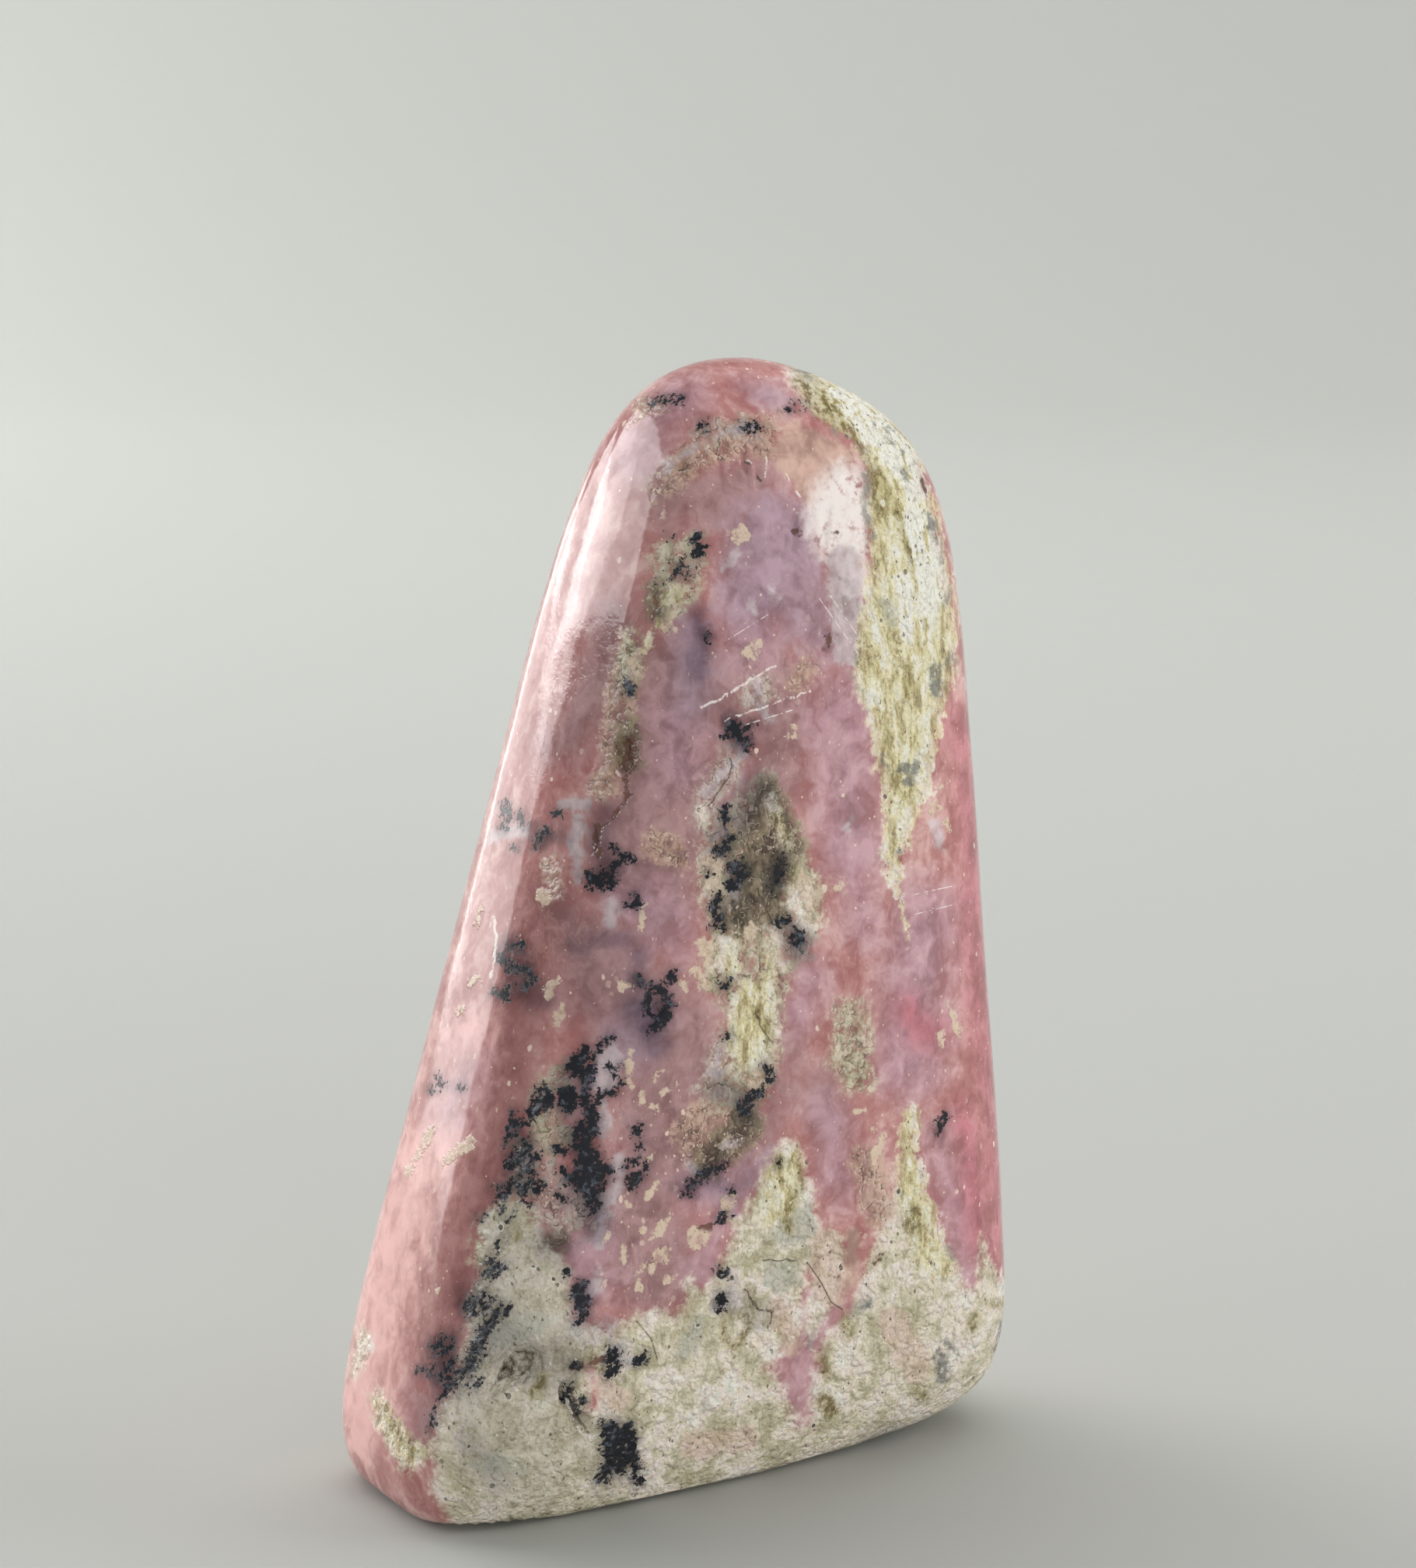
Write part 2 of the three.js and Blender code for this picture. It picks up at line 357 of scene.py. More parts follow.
# %% Pink inclusions
PINK_INSIDE = [
    patch((1032, 1706), (1026, 1724), (1006, 1738), (1002, 1750), (988, 1758), (1003, 1774), (1012, 1798),
          (1022, 1814), (1028, 1834), (1042, 1832), (1044, 1800), (1050, 1776), (1052, 1750), (1048, 1736),
          (1038, 1728), (1037, 1710)),
    stroke(9, (1044, 1636), (1037, 1670), (1034, 1700)),
    stroke(10, (762, 1765), (768, 1790), (764, 1812)),
    stroke(16, (1096, 1632), (1088, 1668), (1070, 1700), (1046, 1732)),
    stroke(12, (1193, 600), (1207, 645), (1220, 700), (1231, 760), (1239, 830), (1247, 890)),
]
matrix_field = np.minimum(field(MATRIX), 0.1 - field(PINK_INSIDE))
print(round(float((matrix_field > 0).mean()) * 100), "% of the stone is matrix")

# %% [markdown]
# ## Stains and tints inside the matrix
# Iron has stained parts of the matrix olive and yellow, chalky opal stands white at the shoulder,
# and waxy grey-green spots lie in between. These are soft, so their strokes are generous.

# %% Olive, chalk, moss and warm cream
OLIVE = [
    patch((962, 1075), (985, 1048), (1010, 1044), (1022, 1080), (1032, 1110), (1022, 1142), (1000, 1132),
          (985, 1112), (965, 1108)),
    patch((955, 1205), (980, 1200), (986, 1230), (980, 1250), (960, 1246), (950, 1225)),
    patch((1160, 1580), (1163, 1560), (1172, 1544), (1184, 1550), (1188, 1570), (1183, 1588), (1170, 1588)),
    stroke(34, (1036, 496), (1056, 518), (1080, 548), (1102, 580)),
    stroke(18, (1104, 580), (1124, 620), (1136, 660)),
    stroke(13, (1110, 588), (1133, 618), (1150, 650), (1165, 685), (1176, 722)),
    stroke(8, (1180, 742), (1200, 735), (1196, 770), (1192, 805)),
    stroke(9, (1166, 858), (1173, 880), (1166, 902)),
    stroke(14, (1256, 1693), (1251, 1708)),
    stroke(14, (1060, 1748), (1064, 1764)),
    stroke(20, (1060, 1802), (1070, 1816)),
    stroke(9, (966, 1655), (971, 1676), (956, 1694), (940, 1688), (930, 1704), (936, 1728), (948, 1734),
           (961, 1712), (966, 1690)),
    stroke(15, (1180, 1788), (1190, 1798)),
    stroke(9, (1033, 1503), (1029, 1524), (1022, 1540), (1014, 1556)),
    stroke(14, (1004, 1562), (1014, 1580)),
    stroke(16, (1084, 1690), (1094, 1714)),
    stroke(18, (848, 764), (868, 770), (884, 768)),
    stroke(14, (660, 1575), (664, 1592)),
    stroke(26, (500, 1808), (516, 1838), (528, 1858)),
    stroke(14, (700, 1770), (690, 1792)),
    stroke(16, (770, 1758), (760, 1745)),
    stroke(9, (1125, 1476), (1132, 1482), (1124, 1496)),
    stroke(10, (1310, 1680), (1270, 1675)),
    stroke(12, (975, 1300), (990, 1330), (994, 1350)),
]
CHALK = [
    patch((1064, 498), (1088, 496), (1122, 520), (1152, 548), (1178, 580), (1194, 610), (1198, 640),
          (1184, 642), (1164, 630), (1146, 605), (1124, 580), (1100, 546), (1078, 522)),
    patch((1160, 655), (1185, 645), (1208, 680), (1216, 730), (1206, 800), (1186, 790), (1176, 740),
          (1168, 690)),
    patch((1150, 740), (1170, 735), (1178, 780), (1172, 830), (1158, 810)),
]
MOSS = [
    stroke(12, (1028, 472), (1038, 478)),
    stroke(9, (1058, 553), (1075, 559), (1092, 567)),
    stroke(14, (1110, 600), (1115, 630), (1112, 660), (1118, 695)),
    stroke(9, (1098, 838), (1093, 858), (1091, 876)),
    stroke(9, (1092, 907)),
    stroke(15, (1203, 862), (1209, 892)),
    stroke(10, (1222, 842), (1231, 858)),
    stroke(10, (1196, 664), (1204, 692)),
    stroke(7, (1210, 708), (1212, 720)),
    stroke(7, (1222, 758), (1219, 775)),
    stroke(13, (1163, 990), (1180, 982), (1170, 1006)),
    stroke(8, (1136, 975), (1139, 986)),
    stroke(7, (1158, 1096), (1160, 1102)),
    stroke(14, (1292, 1705), (1287, 1738)),
    stroke(10, (1222, 1606), (1226, 1614)),
    stroke(8, (1220, 1728), (1230, 1738)),
    stroke(16, (1212, 1745), (1214, 1772)),
    stroke(10, (1112, 1680), (1120, 1676)),
    stroke(12, (590, 1925), (598, 1935)),
    dots(7, (1127, 543), (1145, 553), (1135, 569), (1148, 572), (1161, 582), (1156, 598)),
    dots(7, (1164, 606), (1177, 593), (1187, 614), (1190, 631), (1179, 636), (1169, 624)),
]
GLASSY_GREY = [
    patch((1025, 1558), (1045, 1545), (1050, 1580), (1040, 1600), (1000, 1602), (984, 1592), (1000, 1575)),
    patch((984, 1622), (1026, 1622), (1030, 1650), (1002, 1664), (985, 1650)),
    stroke(20, (1085, 1690), (1108, 1680)),
    stroke(30, (640, 1720), (690, 1700)),
    stroke(24, (620, 1880), (670, 1890)),
    stroke(22, (900, 1700), (880, 1740)),
    stroke(14, (1140, 775), (1150, 800)),
]
print(len(OLIVE), "olive,", len(CHALK), "chalk,", len(MOSS), "moss marks")

# %% [markdown]
# ## Dendrites
# Dendrites are films of black oxide that crept along cracks in the opal. Each is drawn as its
# main limbs. The material frays them, and sets them in a smoky blue haze where they lie just
# under the surface.

# %% Black limbs
DENDRITES = [
    stroke(6, (786, 1334), (775, 1342), (766, 1352), (757, 1358)),
    stroke(17, (752, 1352), (744, 1364), (738, 1374), (750, 1380)),
    stroke(10, (757, 1362), (760, 1378), (754, 1392)),
    patch((713, 1401), (735, 1399), (745, 1406), (742, 1420), (728, 1430), (716, 1422)),
    stroke(12, (703, 1403), (706, 1415), (700, 1424)),
    stroke(9, (691, 1405), (694, 1414), (688, 1424), (684, 1432)),
    stroke(9, (768, 1410), (782, 1406), (792, 1402)),
    stroke(14, (752, 1408), (758, 1425), (762, 1438)),
    patch((742, 1446), (764, 1441), (767, 1456), (760, 1470), (772, 1486), (771, 1496), (786, 1499),
          (788, 1511), (779, 1521), (771, 1531), (770, 1555), (762, 1562), (755, 1550), (751, 1536),
          (740, 1526), (728, 1520), (732, 1508), (745, 1500), (742, 1480), (735, 1470), (738, 1456)),
    stroke(7, (715, 1477), (727, 1482)),
    stroke(6, (722, 1504), (729, 1512)),
    stroke(6, (717, 1537), (725, 1542)),
    stroke(10, (661, 1441), (668, 1448)),
    stroke(6, (655, 1451), (662, 1456)),
    stroke(10, (674, 1467), (681, 1477), (672, 1483)),
    stroke(11, (661, 1484), (667, 1492), (655, 1498)),
    stroke(9, (680, 1504), (686, 1514), (678, 1522)),
    stroke(8, (693, 1522), (690, 1532)),
    stroke(9, (644, 1542), (654, 1529), (668, 1518)),
    stroke(10, (671, 1532), (680, 1543)),
    stroke(5, (644, 1552), (648, 1560)),
    dots(7, (656, 1565), (690, 1487), (635, 1527)),
    dots(5, (618, 1566), (650, 1465), (642, 1595), (660, 1430)),
    stroke(7, (817, 1452), (822, 1450), (819, 1459)),
    stroke(5, (804, 1501), (812, 1495), (820, 1492)),
    stroke(9, (811, 1516), (823, 1514)),
    dots(5, (824, 1474), (832, 1500), (813, 1525)),
    stroke(7, (930, 1500), (918, 1503), (905, 1510), (893, 1520), (884, 1533)),
    stroke(9, (836, 1272), (848, 1270), (856, 1279), (860, 1292), (856, 1306), (848, 1316), (840, 1322)),
    stroke(5, (836, 1276), (832, 1290), (834, 1302)),
    stroke(5, (821, 1257), (826, 1265)),
    stroke(6, (862, 1257), (866, 1252)),
    stroke(8, (658, 1218), (669, 1215)),
    stroke(6, (645, 1231), (651, 1239)),
    stroke(8, (656, 1245), (668, 1245), (678, 1250), (683, 1257), (676, 1268)),
    stroke(7, (637, 1275), (648, 1281), (652, 1272)),
    stroke(9, (803, 1102), (795, 1110), (785, 1118), (775, 1124), (768, 1132)),
    patch((764, 1126), (780, 1114), (791, 1124), (788, 1138), (775, 1144), (765, 1138)),
    stroke(5, (789, 1091), (800, 1102), (813, 1106)),
    stroke(5, (757, 1124), (760, 1140)),
    stroke(6, (820, 1154), (816, 1165), (808, 1162)),
    stroke(6, (649, 1035), (651, 1052)),
    stroke(5, (669, 1047), (671, 1057)),
    stroke(8, (701, 1069), (695, 1078), (690, 1086)),
    dots(5, (646, 1063), (716, 1046), (662, 1089)),
    stroke(12, (947, 934), (951, 948)),
    stroke(7, (959, 951), (962, 961)),
    stroke(5, (938, 929), (936, 945)),
    stroke(4, (960, 938), (967, 930)),
    stroke(6, (932, 1040), (933, 1056)),
    stroke(9, (940, 1078), (932, 1088), (922, 1095)),
    patch((940, 1111), (955, 1108), (962, 1118), (955, 1130), (946, 1142), (938, 1148), (936, 1136),
          (942, 1122)),
    stroke(9, (1005, 1107), (1004, 1119), (998, 1130)),
    stroke(8, (921, 1155), (920, 1172), (926, 1180), (920, 1190)),
    stroke(8, (1002, 1186), (1011, 1183)),
    stroke(13, (1025, 1204), (1028, 1209)),
    stroke(7, (929, 1268), (937, 1264)),
    dots(6, (932, 1194), (911, 1122), (937, 1333), (1002, 1494), (992, 1145)),
    stroke(5, (983, 1370), (988, 1380), (991, 1389)),
    stroke(10, (978, 1406), (965, 1411), (956, 1421), (958, 1430)),
    stroke(12, (631, 1620), (636, 1629), (627, 1639)),
    stroke(9, (602, 1678), (612, 1668), (622, 1672), (632, 1680), (645, 1684), (652, 1686)),
    stroke(8, (641, 1690), (631, 1698), (622, 1702)),
    stroke(9, (608, 1684), (600, 1690)),
    stroke(12, (620, 1712), (618, 1726), (608, 1735), (612, 1745), (605, 1755), (598, 1765)),
    stroke(7, (574, 1717), (581, 1726), (575, 1736)),
    stroke(8, (558, 1731), (567, 1739), (575, 1748), (578, 1758)),
    stroke(9, (558, 1766), (570, 1775), (580, 1780), (574, 1789)),
    stroke(8, (585, 1758), (582, 1772)),
    stroke(6, (537, 1762), (548, 1761)),
    stroke(8, (605, 1783), (617, 1779)),
    stroke(12, (748, 1654), (742, 1665), (747, 1678), (755, 1672)),
    stroke(5, (743, 1698), (750, 1692), (755, 1688)),
    dots(7, (730, 1637), (740, 1755), (650, 1628), (781, 1904), (750, 1803)),
    stroke(10, (790, 1739), (786, 1752), (792, 1757), (784, 1769)),
    stroke(6, (830, 1746), (821, 1752)),
    stroke(6, (734, 1784), (731, 1796), (737, 1808), (745, 1822)),
    patch((772, 1834), (785, 1828), (800, 1834), (812, 1832), (818, 1845), (817, 1862), (822, 1878),
          (826, 1890), (815, 1893), (805, 1888), (800, 1896), (790, 1890), (782, 1898), (775, 1906),
          (768, 1903), (778, 1880), (776, 1860), (778, 1845)),
    stroke(9, (817, 1903), (822, 1906)),
    stroke(4, (561, 1812), (557, 1825), (554, 1836)),
    stroke(7, (898, 548), (906, 542), (911, 550)),
    stroke(7, (955, 546), (966, 549), (977, 552)),
    stroke(7, (1016, 525), (1024, 521), (1032, 522)),
    stroke(14, (899, 696), (898, 711)),
    stroke(13, (869, 733), (881, 735)),
    dots(6, (848, 748), (863, 689), (911, 817), (940, 1533)),
    stroke(7, (808, 878), (807, 889)),
    stroke(5, (838, 517), (850, 514), (862, 512), (877, 511)),
    stroke(5, (1217, 1436), (1211, 1444), (1207, 1455)),
    stroke(7, (925, 1635), (934, 1638)),
    stroke(6, (925, 1568), (935, 1562)),
    stroke(8, (930, 1668), (927, 1682)),
    dots(5, (563, 1385), (567, 1394), (555, 1402), (592, 1398), (783, 1370), (795, 1372), (790, 1381),
         (797, 1392)),
]
print(sum(len(m) if isinstance(m, list) else 1 for m in DENDRITES), "black limbs and dots")

# %% Smoke around the dendrites, and darker strokes over the foot
SMOKE = [
    stroke(20, (690, 1072), (722, 1076)),
    stroke(36, (658, 1222), (672, 1245), (668, 1272), (690, 1280)),
    stroke(30, (775, 1048), (768, 1080), (782, 1120)),
    stroke(15, (735, 1215), (755, 1218), (768, 1208), (786, 1204), (802, 1206), (814, 1213), (822, 1224),
           (820, 1245), (816, 1262)),
    stroke(36, (815, 1292), (830, 1312), (845, 1340)),
    stroke(24, (848, 1296)),
    stroke(46, (738, 1385), (744, 1440), (750, 1490), (756, 1540), (764, 1572)),
    stroke(36, (668, 1472), (668, 1520)),
    stroke(28, (885, 1525), (915, 1516)),
    stroke(34, (930, 1402), (955, 1414), (962, 1432)),
    stroke(34, (942, 925), (952, 955)),
    stroke(40, (978, 1014), (966, 1026), (957, 1048)),
    stroke(26, (925, 1072), (936, 1096)),
    stroke(40, (602, 1668), (640, 1690)),
    stroke(44, (566, 1738), (576, 1776)),
    stroke(24, (898, 790), (906, 826), (896, 862)),
    stroke(34, (948, 1120), (940, 1150)),
    stroke(28, (1008, 1106), (1000, 1128)),
    stroke(32, (1022, 1204), (1028, 1222)),
    stroke(36, (700, 1600), (722, 1606)),
    stroke(34, (798, 1840), (800, 1885)),
    stroke(24, (746, 1660), (748, 1690)),
    # These last strokes darken the foot around the crystal pocket and in a few smears.
    stroke(60, (640, 1730), (700, 1760), (742, 1740)),
    stroke(30, (742, 1700), (780, 1716), (800, 1746)),
    stroke(36, (940, 1670), (980, 1690)),
    stroke(30, (600, 1850), (640, 1900)),
    stroke(24, (1150, 1840), (1120, 1850)),
]
print(len(SMOKE), "hazes")

# %% [markdown]
# ## Cream flecks and lilac glass
# Splinters of matrix float in the opal as crisp cream flecks. Clearer opal shows as pale lilac
# bars without a hard edge, and as a paler wash over the front of the shoulder.

# %% Cream flecks
CREAM = [
    patch((905, 1104), (922, 1096), (930, 1112), (928, 1130), (936, 1150), (926, 1162), (914, 1148),
          (902, 1126)),
    patch((956, 1196), (966, 1184), (974, 1196), (968, 1214), (958, 1212)),
    patch((1030, 1120), (1044, 1128), (1052, 1150), (1050, 1176), (1038, 1184), (1034, 1160), (1026, 1140)),
    patch((935, 676), (950, 671), (962, 680), (966, 695), (955, 703), (942, 694)),
    patch((955, 838), (965, 822), (978, 826), (977, 842), (967, 851), (958, 846)),
    stroke(6, (1020, 934), (1012, 948), (1026, 948)),
    stroke(7, (852, 668), (856, 658)),
    stroke(6, (856, 806), (864, 802), (868, 809), (860, 813), (856, 808)),
    stroke(9, (812, 846), (818, 866), (809, 884)),
    patch((899, 1206), (912, 1202), (918, 1214), (915, 1228), (903, 1231), (895, 1220)),
    stroke(6, (912, 1232), (905, 1243)),
    patch((893, 1236), (900, 1243), (904, 1262), (896, 1260), (889, 1246)),
    patch((905, 1260), (915, 1260), (914, 1274), (906, 1275)),
    patch((965, 1386), (975, 1376), (986, 1386), (985, 1400), (978, 1410), (968, 1406), (960, 1400)),
    patch((692, 1141), (705, 1138), (712, 1148), (708, 1163), (698, 1168), (690, 1158)),
    patch((697, 1270), (708, 1259), (717, 1264), (712, 1282), (701, 1286)),
    patch((710, 1300), (722, 1291), (731, 1298), (726, 1315), (714, 1318)),
    patch((790, 1272), (798, 1262), (808, 1268), (800, 1279)),
    stroke(7, (879, 1262), (883, 1272)),
    stroke(9, (811, 1356), (808, 1378), (812, 1396)),
    stroke(5, (829, 1164), (824, 1177), (827, 1189), (822, 1198)),
    stroke(9, (553, 1453), (543, 1474), (532, 1492), (523, 1509)),
    patch((602, 1461), (611, 1465), (609, 1474), (595, 1483), (580, 1496), (567, 1501), (571, 1489),
          (585, 1475)),
    stroke(6, (604, 1264), (613, 1256)),
    stroke(7, (589, 1301), (592, 1298)),
    stroke(5, (563, 1660), (570, 1648)),
    stroke(5, (617, 1170), (611, 1190)),
    patch((882, 1592), (889, 1578), (905, 1575), (913, 1590), (906, 1604), (893, 1607), (884, 1602)),
    patch((838, 1618), (842, 1606), (857, 1601), (866, 1612), (858, 1623), (842, 1629)),
    stroke(8, (827, 1636), (833, 1626), (836, 1634)),
    stroke(8, (801, 1606), (802, 1620)),
    stroke(9, (862, 1562), (852, 1575), (845, 1586)),
    stroke(6, (826, 1579), (834, 1590)),
    patch((924, 1553), (931, 1538), (945, 1529), (949, 1545), (940, 1558)),
    stroke(8, (935, 1568), (946, 1574)),
    stroke(6, (831, 1541), (846, 1524)),
    stroke(5, (827, 1501), (842, 1481)),
    stroke(5, (822, 1403), (828, 1418)),
    stroke(8, (838, 1420), (845, 1424)),
    stroke(6, (841, 1386), (852, 1378)),
    patch((1222, 1291), (1230, 1300), (1236, 1320), (1236, 1337), (1230, 1330), (1224, 1312)),
    stroke(6, (1210, 1326), (1214, 1346)),
    stroke(5, (1239, 1255), (1242, 1265)),
    patch((1121, 1478), (1135, 1469), (1138, 1481), (1128, 1492), (1124, 1499), (1120, 1488)),
    stroke(8, (1115, 1523), (1126, 1518)),
    stroke(7, (1126, 1453), (1136, 1460)),
    stroke(5, (1101, 1430), (1112, 1426)),
    patch((1075, 1142), (1083, 1125), (1091, 1145), (1080, 1149)),
    patch((1195, 1040), (1203, 1030), (1211, 1038), (1205, 1049), (1197, 1047)),
    stroke(4, (1218, 1052), (1220, 1069)),
    stroke(5, (1224, 1000), (1213, 1013)),
    stroke(6, (915, 1125), (917, 1145)),
    stroke(6, (870, 1398), (850, 1406)),
    stroke(7, (815, 1640), (822, 1658)),
    stroke(7, (867, 1640), (858, 1646)),
    stroke(7, (806, 1545), (812, 1552)),
    stroke(6, (782, 1583), (779, 1598)),
    stroke(4, (803, 550), (815, 540), (826, 533)),
]
print(len(CREAM), "cream flecks")

# %% Lilac glass
LILAC = [
    stroke(13, (846, 612), (866, 590), (892, 574)),
    stroke(11, (930, 553), (965, 546)),
    stroke(17, (743, 1052), (740, 1090), (744, 1132)),
    stroke(15, (628, 1078), (650, 1068), (676, 1070)),
    stroke(13, (722, 1036), (752, 1034)),
    patch((768, 1418), (780, 1415), (785, 1430), (784, 1455), (778, 1468), (768, 1462), (764, 1445)),
    stroke(14, (795, 1488), (798, 1510)),
    stroke(17, (792, 1524), (782, 1546)),
    patch((775, 1350), (790, 1342), (801, 1356), (799, 1394), (790, 1402), (775, 1406), (763, 1400),
          (761, 1380), (766, 1362)),
    stroke(11, (776, 1556), (772, 1602)),
    patch((752, 1668), (760, 1640), (770, 1627), (779, 1640), (775, 1658), (760, 1672)),
    stroke(11, (928, 1350), (918, 1380)),
    stroke(6, (925, 1480), (935, 1472), (945, 1470), (956, 1462)),
    stroke(7, (881, 1494), (893, 1508)),
    stroke(17, (788, 1165), (785, 1186)),
    stroke(9, (951, 707), (938, 722), (928, 731)),
    stroke(9, (992, 762), (1000, 770)),
    stroke(9, (966, 776), (972, 788)),
    stroke(15, (765, 1856), (762, 1890)),
    stroke(10, (908, 1020), (940, 985), (960, 965)),
    stroke(12, (1204, 1060), (1210, 1090)),
    stroke(10, (1095, 1052), (1090, 1066)),
    stroke(12, (1048, 1693), (1044, 1730)),
    stroke(9, (806, 1786), (812, 1782)),
    stroke(7, (975, 880), (968, 908)),
    stroke(44, (1084, 724), (1090, 790), (1094, 836)),
    stroke(14, (975, 905), (990, 925)),
]
print(len(LILAC), "lilac marks")

# %% [markdown]
# ## Tints of the pink, and painted light on it
# The pink isn't one pink. It runs from a dusky rose at the crown to mauve down the middle, and to a
# saturated red at the right edge that is partly painted shade where the edge turns away. A paler salmon
# down the lower left edge is painted reflection, and a deeper salmon inside it is painted shade. These
# are wide soft strokes.

# %% Mauve, rose with painted edge shade, painted sheen and shade at the left edge, dusk and tan
MAUVE = [
    stroke(84, (1010, 690), (985, 760), (960, 810)),
    stroke(48, (870, 935), (878, 985)),
    stroke(40, (1100, 1130), (1112, 1200)),
    stroke(44, (812, 590), (842, 545), (880, 515)),
    stroke(46, (1060, 1680), (1030, 1740), (1024, 1810)),
    stroke(80, (1080, 900), (1090, 1010), (1095, 1100)),
    stroke(90, (1190, 1180), (1180, 1260), (1170, 1370)),
    stroke(46, (1210, 1470), (1235, 1570), (1240, 1640)),
    stroke(50, (1070, 1440), (1080, 1520)),
    stroke(46, (900, 1530), (960, 1520)),
    stroke(50, (1040, 1260), (1030, 1300)),
    stroke(60, (820, 1160), (860, 1200)),
    stroke(60, (740, 1560), (760, 1640)),
    stroke(36, (600, 1370), (575, 1430)),
    stroke(30, (918, 1590), (905, 1640)),
]
# Painted reflection: a paler salmon down the lower left edge, standing for the sheen of a bright wall.
PAINTED_SHEEN = [
    stroke(56, (600, 1340), (556, 1480)),
    stroke(72, (540, 1480), (500, 1620), (470, 1760), (464, 1840)),
]
# Painted shade: a deeper salmon just inside the left edge, where the face turns from the light.
INNER_EDGE_SHADE = [
    stroke(64, (700, 1150), (668, 1300), (628, 1470), (590, 1620), (566, 1720)),
]
# Partly the stone's own rose, and partly painted shade along the right edge, where it turns away.
ROSE_AND_EDGE_SHADE = [
    stroke(50, (1246, 930), (1262, 1100), (1272, 1300), (1284, 1420), (1294, 1560), (1300, 1640)),
    stroke(30, (1240, 1420), (1252, 1520), (1262, 1600)),
    stroke(40, (1170, 1300), (1195, 1330)),
]
DUSK = [
    stroke(80, (965, 840), (920, 900)),
    stroke(50, (1056, 1396), (1066, 1440)),
    stroke(70, (870, 640), (930, 640), (960, 620)),
    stroke(60, (720, 960), (760, 900), (790, 800)),
    stroke(70, (720, 1180), (800, 1230), (860, 1150)),
    stroke(46, (1010, 1400), (975, 1460), (930, 1500)),
    stroke(50, (1000, 860), (1020, 960)),
    stroke(36, (545, 1800), (545, 1840)),
    stroke(40, (900, 1340), (880, 1420)),
    stroke(30, (1022, 1340), (1010, 1380)),
    stroke(150, (860, 880), (860, 1000), (830, 1120)),
    stroke(140, (780, 1260), (860, 1340), (860, 1480)),
    stroke(90, (1000, 900), (990, 1000)),
    stroke(120, (820, 1560), (840, 1640)),
]
TAN = [
    patch((838, 645), (830, 622), (850, 600), (865, 580), (895, 560), (898, 548), (930, 538), (1000, 530),
          (1004, 556), (990, 592), (955, 582), (915, 600), (900, 608), (870, 632)),
    patch((860, 1450), (900, 1412), (950, 1424), (985, 1436), (975, 1478), (945, 1494), (915, 1500),
          (890, 1512), (870, 1490)),
    patch((762, 992), (785, 970), (800, 990), (795, 1022), (770, 1032), (755, 1016)),
    patch((1098, 1300), (1112, 1288), (1118, 1320), (1115, 1350), (1120, 1380), (1110, 1402), (1088, 1396),
          (1068, 1370), (1076, 1330)),
    stroke(40, (810, 840), (800, 900), (790, 960)),
    stroke(18, (706, 1112), (716, 1150)),
    stroke(36, (700, 1440), (710, 1470)),
    stroke(22, (1040, 860), (1025, 880)),
    stroke(36, (845, 1090), (870, 1100)),
    stroke(36, (1110, 1490), (1130, 1560)),
    stroke(26, (930, 1440), (905, 1470)),
    stroke(18, (820, 520), (850, 522)),
]
PEACH = [
    patch((1002, 560), (1010, 545), (1036, 545), (1070, 562), (1098, 580), (1096, 604), (1076, 610),
          (1056, 640), (1036, 652), (1024, 622), (1006, 600), (990, 588)),
    stroke(30, (1125, 1500), (1140, 1560)),
    stroke(24, (1098, 1590), (1092, 1650)),
    stroke(40, (1060, 1600), (1070, 1660)),
    stroke(34, (890, 1860), (960, 1850)),
    stroke(30, (780, 1790), (800, 1800)),
    stroke(26, (1000, 1680), (1020, 1730)),
    stroke(40, (1150, 1700), (1180, 1760)),
]
BROWN = [
    patch((803, 950), (812, 944), (820, 950), (819, 966), (814, 976), (818, 990), (806, 1000), (800, 985),
          (802, 966)),
    stroke(5, (803, 1000), (806, 1012), (808, 1022), (800, 1036), (792, 1046), (784, 1056), (776, 1062)),
    stroke(10, (769, 1064), (766, 1080), (771, 1096)),
    stroke(6, (846, 762), (843, 784), (838, 800)),
    stroke(7, (1134, 1614), (1128, 1625)),
    stroke(9, (902, 1578), (912, 1576)),
    stroke(8, (1026, 680), (1030, 690)),
    stroke(6, (1070, 690), (1078, 684)),
    stroke(5, (1066, 816), (1067, 832)),
    stroke(6, (780, 1745), (738, 1762)),
    stroke(4, (1188, 612), (1192, 640)),
]
print(len(MAUVE) + len(PAINTED_SHEEN) + len(ROSE_AND_EDGE_SHADE) + len(DUSK) + len(TAN) + len(PEACH) + len(BROWN), "tints")
